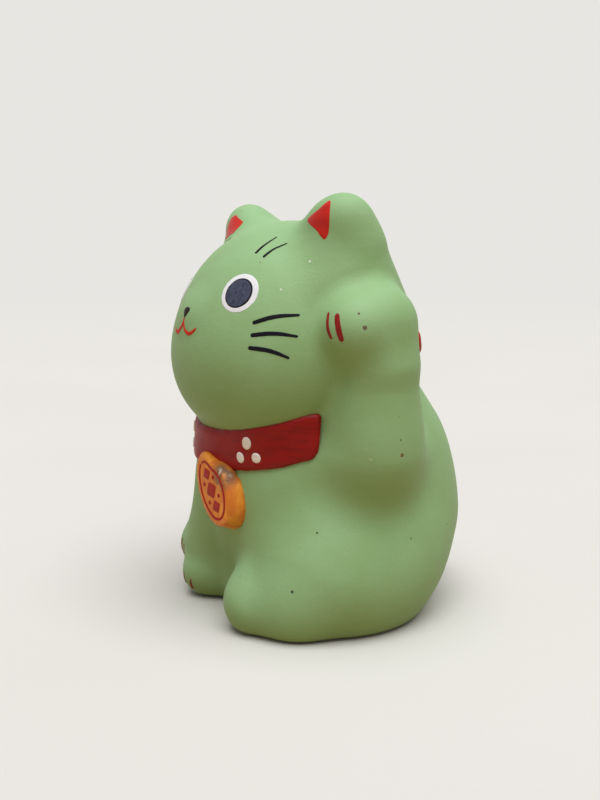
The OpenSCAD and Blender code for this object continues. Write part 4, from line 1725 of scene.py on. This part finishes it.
@dataclass
class Studio:
    """A plain pale floor and soft light."""

    pale: tuple = rgb(232, 230, 226)
    paper: tuple = rgb(221, 219, 215)
    cloud: tuple = rgb(219, 217, 213)
    bounce: tuple = rgb(172, 138, 82)
    air: tuple = (1.0, 0.97, 0.92, 1.0)
    sky: float = 0.28
    sun: float = 2.9
    sun_spread: float = 55.0
    sun_from: Triple = (0.28, -0.08, 1.0)
    fade_from: float = 0.16
    fade_to: float = 1.0

    def build(self) -> None:
        """Adds the floor, the sky and the lamp."""
        clear_selection()
        bpy.ops.mesh.primitive_circle_add(vertices=96, radius=4, fill_type="NGON")
        floor = named("floor")
        floor.data.materials.append(self.floor_material())
        self.add_sky()
        sun = bpy.data.lights.new("window", "SUN")
        sun.energy = self.sun
        sun.angle = math.radians(self.sun_spread)
        lamp = bpy.data.objects.new("window", sun)
        lamp.rotation_euler = Vector(self.sun_from).to_track_quat("Z", "Y").to_euler()
        bpy.context.scene.collection.objects.link(lamp)

    def add_sky(self) -> None:
        """The soft light from all round, and the pale ground that the camera sees behind."""
        world = bpy.data.worlds.new("studio")
        world.use_nodes = True
        bpy.context.scene.world = world
        nodes, links = world.node_tree.nodes, world.node_tree.links
        background = nodes["Background"]
        path = nodes.new("ShaderNodeLightPath")
        seen = nodes.new("ShaderNodeMath")
        seen.operation = "MAXIMUM"
        links.new(path.outputs["Is Camera Ray"], seen.inputs[0])
        links.new(path.outputs["Is Glossy Ray"], seen.inputs[1])
        backdrop = nodes.new("ShaderNodeBackground")
        backdrop.inputs["Color"].default_value = self.pale
        background.inputs["Color"].default_value = self.air
        background.inputs["Strength"].default_value = self.sky
        mix = nodes.new("ShaderNodeMixShader")
        links.new(seen.outputs[0], mix.inputs[0])
        links.new(background.outputs[0], mix.inputs[1])
        links.new(backdrop.outputs[0], mix.inputs[2])
        links.new(mix.outputs[0], nodes["World Output"].inputs["Surface"])

    def floor_material(self) -> bpy.types.Material:
        """Pale paper that melts into the background far from the object.

        What it throws back onto the object is darker and a little warmer than what the camera sees.
        """
        g = Graph("floor_paper")
        path = g.add("ShaderNodeLightPath")
        seen = g.math("MAXIMUM", path.outputs["Is Camera Ray"], path.outputs["Is Glossy Ray"])
        paper = g.mix(g.ramp(g.noise(9, 2), 0.3, 0.7), self.paper, self.cloud)
        g.colour(g.mix(seen, self.bounce, paper))
        g.surface(0.9, 0.1)
        far = g.add("ShaderNodeVectorMath", {0: g.here}, operation="LENGTH").outputs["Value"]
        share = g.math("MULTIPLY", g.ramp(far, self.fade_from, self.fade_to), seen)
        glow = g.add("ShaderNodeEmission", {"Color": self.pale, "Strength": 1.0}).outputs[0]
        mix = g.add("ShaderNodeMixShader", {0: share, 1: g.shader.outputs[0], 2: glow}).outputs[0]
        g.tree.links.new(mix, g.tree.nodes["Material Output"].inputs["Surface"])
        return g.material


# ---------------------------------------------------------------- assembly


@dataclass
class Judge:
    """Measures where each thing shows, against its image point.

    A place counts as seen when nothing lies more than cover millimetres in front of it.
    """

    camera: PhotoCamera
    pieces: list[bpy.types.Object]
    cover: float = 0.12

    def seen(self, names: list[str], tree: BVHTree) -> np.ndarray:
        """Places in the photograph of the visible vertices of the named pieces."""
        eye = Vector(self.camera.place) / METRE
        shown = []
        for name in names:
            for vertex in bpy.data.objects[name].data.vertices:
                way = vertex.co - eye
                hit = tree.ray_cast(eye, way.normalized())
                if hit[0] is not None and hit[3] > way.length - self.cover / METRE:
                    shown.append(tuple(vertex.co * METRE))
        return self.camera.project(np.array(shown)) if shown else np.zeros((0, 2))

    def report(self, groups: dict[str, list[str]], body: list[str]) -> dict[str, list[float]]:
        """How far each thing shows from its point.

        Args:
            groups: For each image point, the pieces that it stands for.
            body: The pieces that make the object's outline.

        Returns:
            The x and y error for each point, one of them for an edge.
        """
        tree = tree_of(*self.pieces)
        outline = self.seen(body, tree)
        low, high = outline.min(0), outline.max(0)
        edges = (("edge_left", low, 0), ("edge_right", high, 0),
                 ("edge_top", low, 1), ("edge_bottom", high, 1))
        errors = {edge: [float(corner[axis] - IMAGE_POINTS[edge][axis])] for edge, corner, axis in edges}
        for point, names in groups.items():
            shown = self.seen(names, tree)
            if len(shown) == 0:
                errors[point] = [999.0, 999.0]
                continue
            errors[point] = ((shown.min(0) + shown.max(0)) / 2 - IMAGE_POINTS[point]).tolist()
        return {key: [round(v, 1) for v in value] for key, value in errors.items()}


def dress(pieces: list[bpy.types.Object], material: bpy.types.Material, role: Role | None) -> None:
    """Gives pieces their finish.

    Args:
        pieces: The pieces.
        material: Their finish.
        role: The slot, or none where the record has no such paint. Not used.
    """
    for piece in pieces:
        piece.data.materials.clear()
        piece.data.materials.append(material)


def main() -> None:
    """Builds the cat piece by piece, and measures it against the photograph's points."""
    logging.basicConfig(level=logging.INFO, format="%(name)s: %(message)s")
    form = CatForm()
    camera = PhotoCamera()
    camera.add()
    bpy.context.scene.view_settings.view_transform = "Standard"

    body = ClayBody(form)
    body.build()
    skin = tree_of(*body.pieces.values())
    collar = Collar(form)
    strip = collar.build()
    bow = NapeBow(form, collar).build()
    medal = Coin(form, collar)
    coin = medal.build()
    painter = Painter(form, camera, skin, SkinGround(form))
    face = Face().paint(painter)
    marks = PawMarks().paint(painter)
    painter.ground = PieceGround(tree_of(strip))
    dots = collar.paint_dots(painter, strip)
    painter.ground = PieceGround(tree_of(coin))
    ornament = medal.ornament(painter)

    dress(list(body.pieces.values()), GreenPaint().material(), Role.GREEN)
    dress([strip], PAINTS["collar"].material(), Role.RED)
    dress([bow], PAINTS["bow"].material(), Role.RED)
    dress([coin], GoldPaint().material(), Role.GOLD)
    for part in ("white", "pupil", "black", "nose", "mouth", "ear"):
        dress(face[part], PAINTS[part].material(), None)
    dress(marks, PAINTS["mark"].material(), None)
    dress(dots, PAINTS["dot"].material(), None)
    dress(ornament, PAINTS["ornament"].material(), None)
    dress([frame["nodes"]["base_disc"]], BareClay().material(), None)
    loose = [piece for group in face.values() for piece in group] + marks + dots + ornament
    for piece in loose:
        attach(piece, "root")
    Studio().build()

    everything = [*body.pieces.values(), strip, bow, coin, *loose]
    errors = Judge(camera, everything).report(SHOWN, [piece.name for piece in body.pieces.values()])
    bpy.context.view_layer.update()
    for piece in everything:
        LOG.info("%s: %d faces", piece.name, len(piece.data.polygons))


if __name__ == "__main__":
    main()
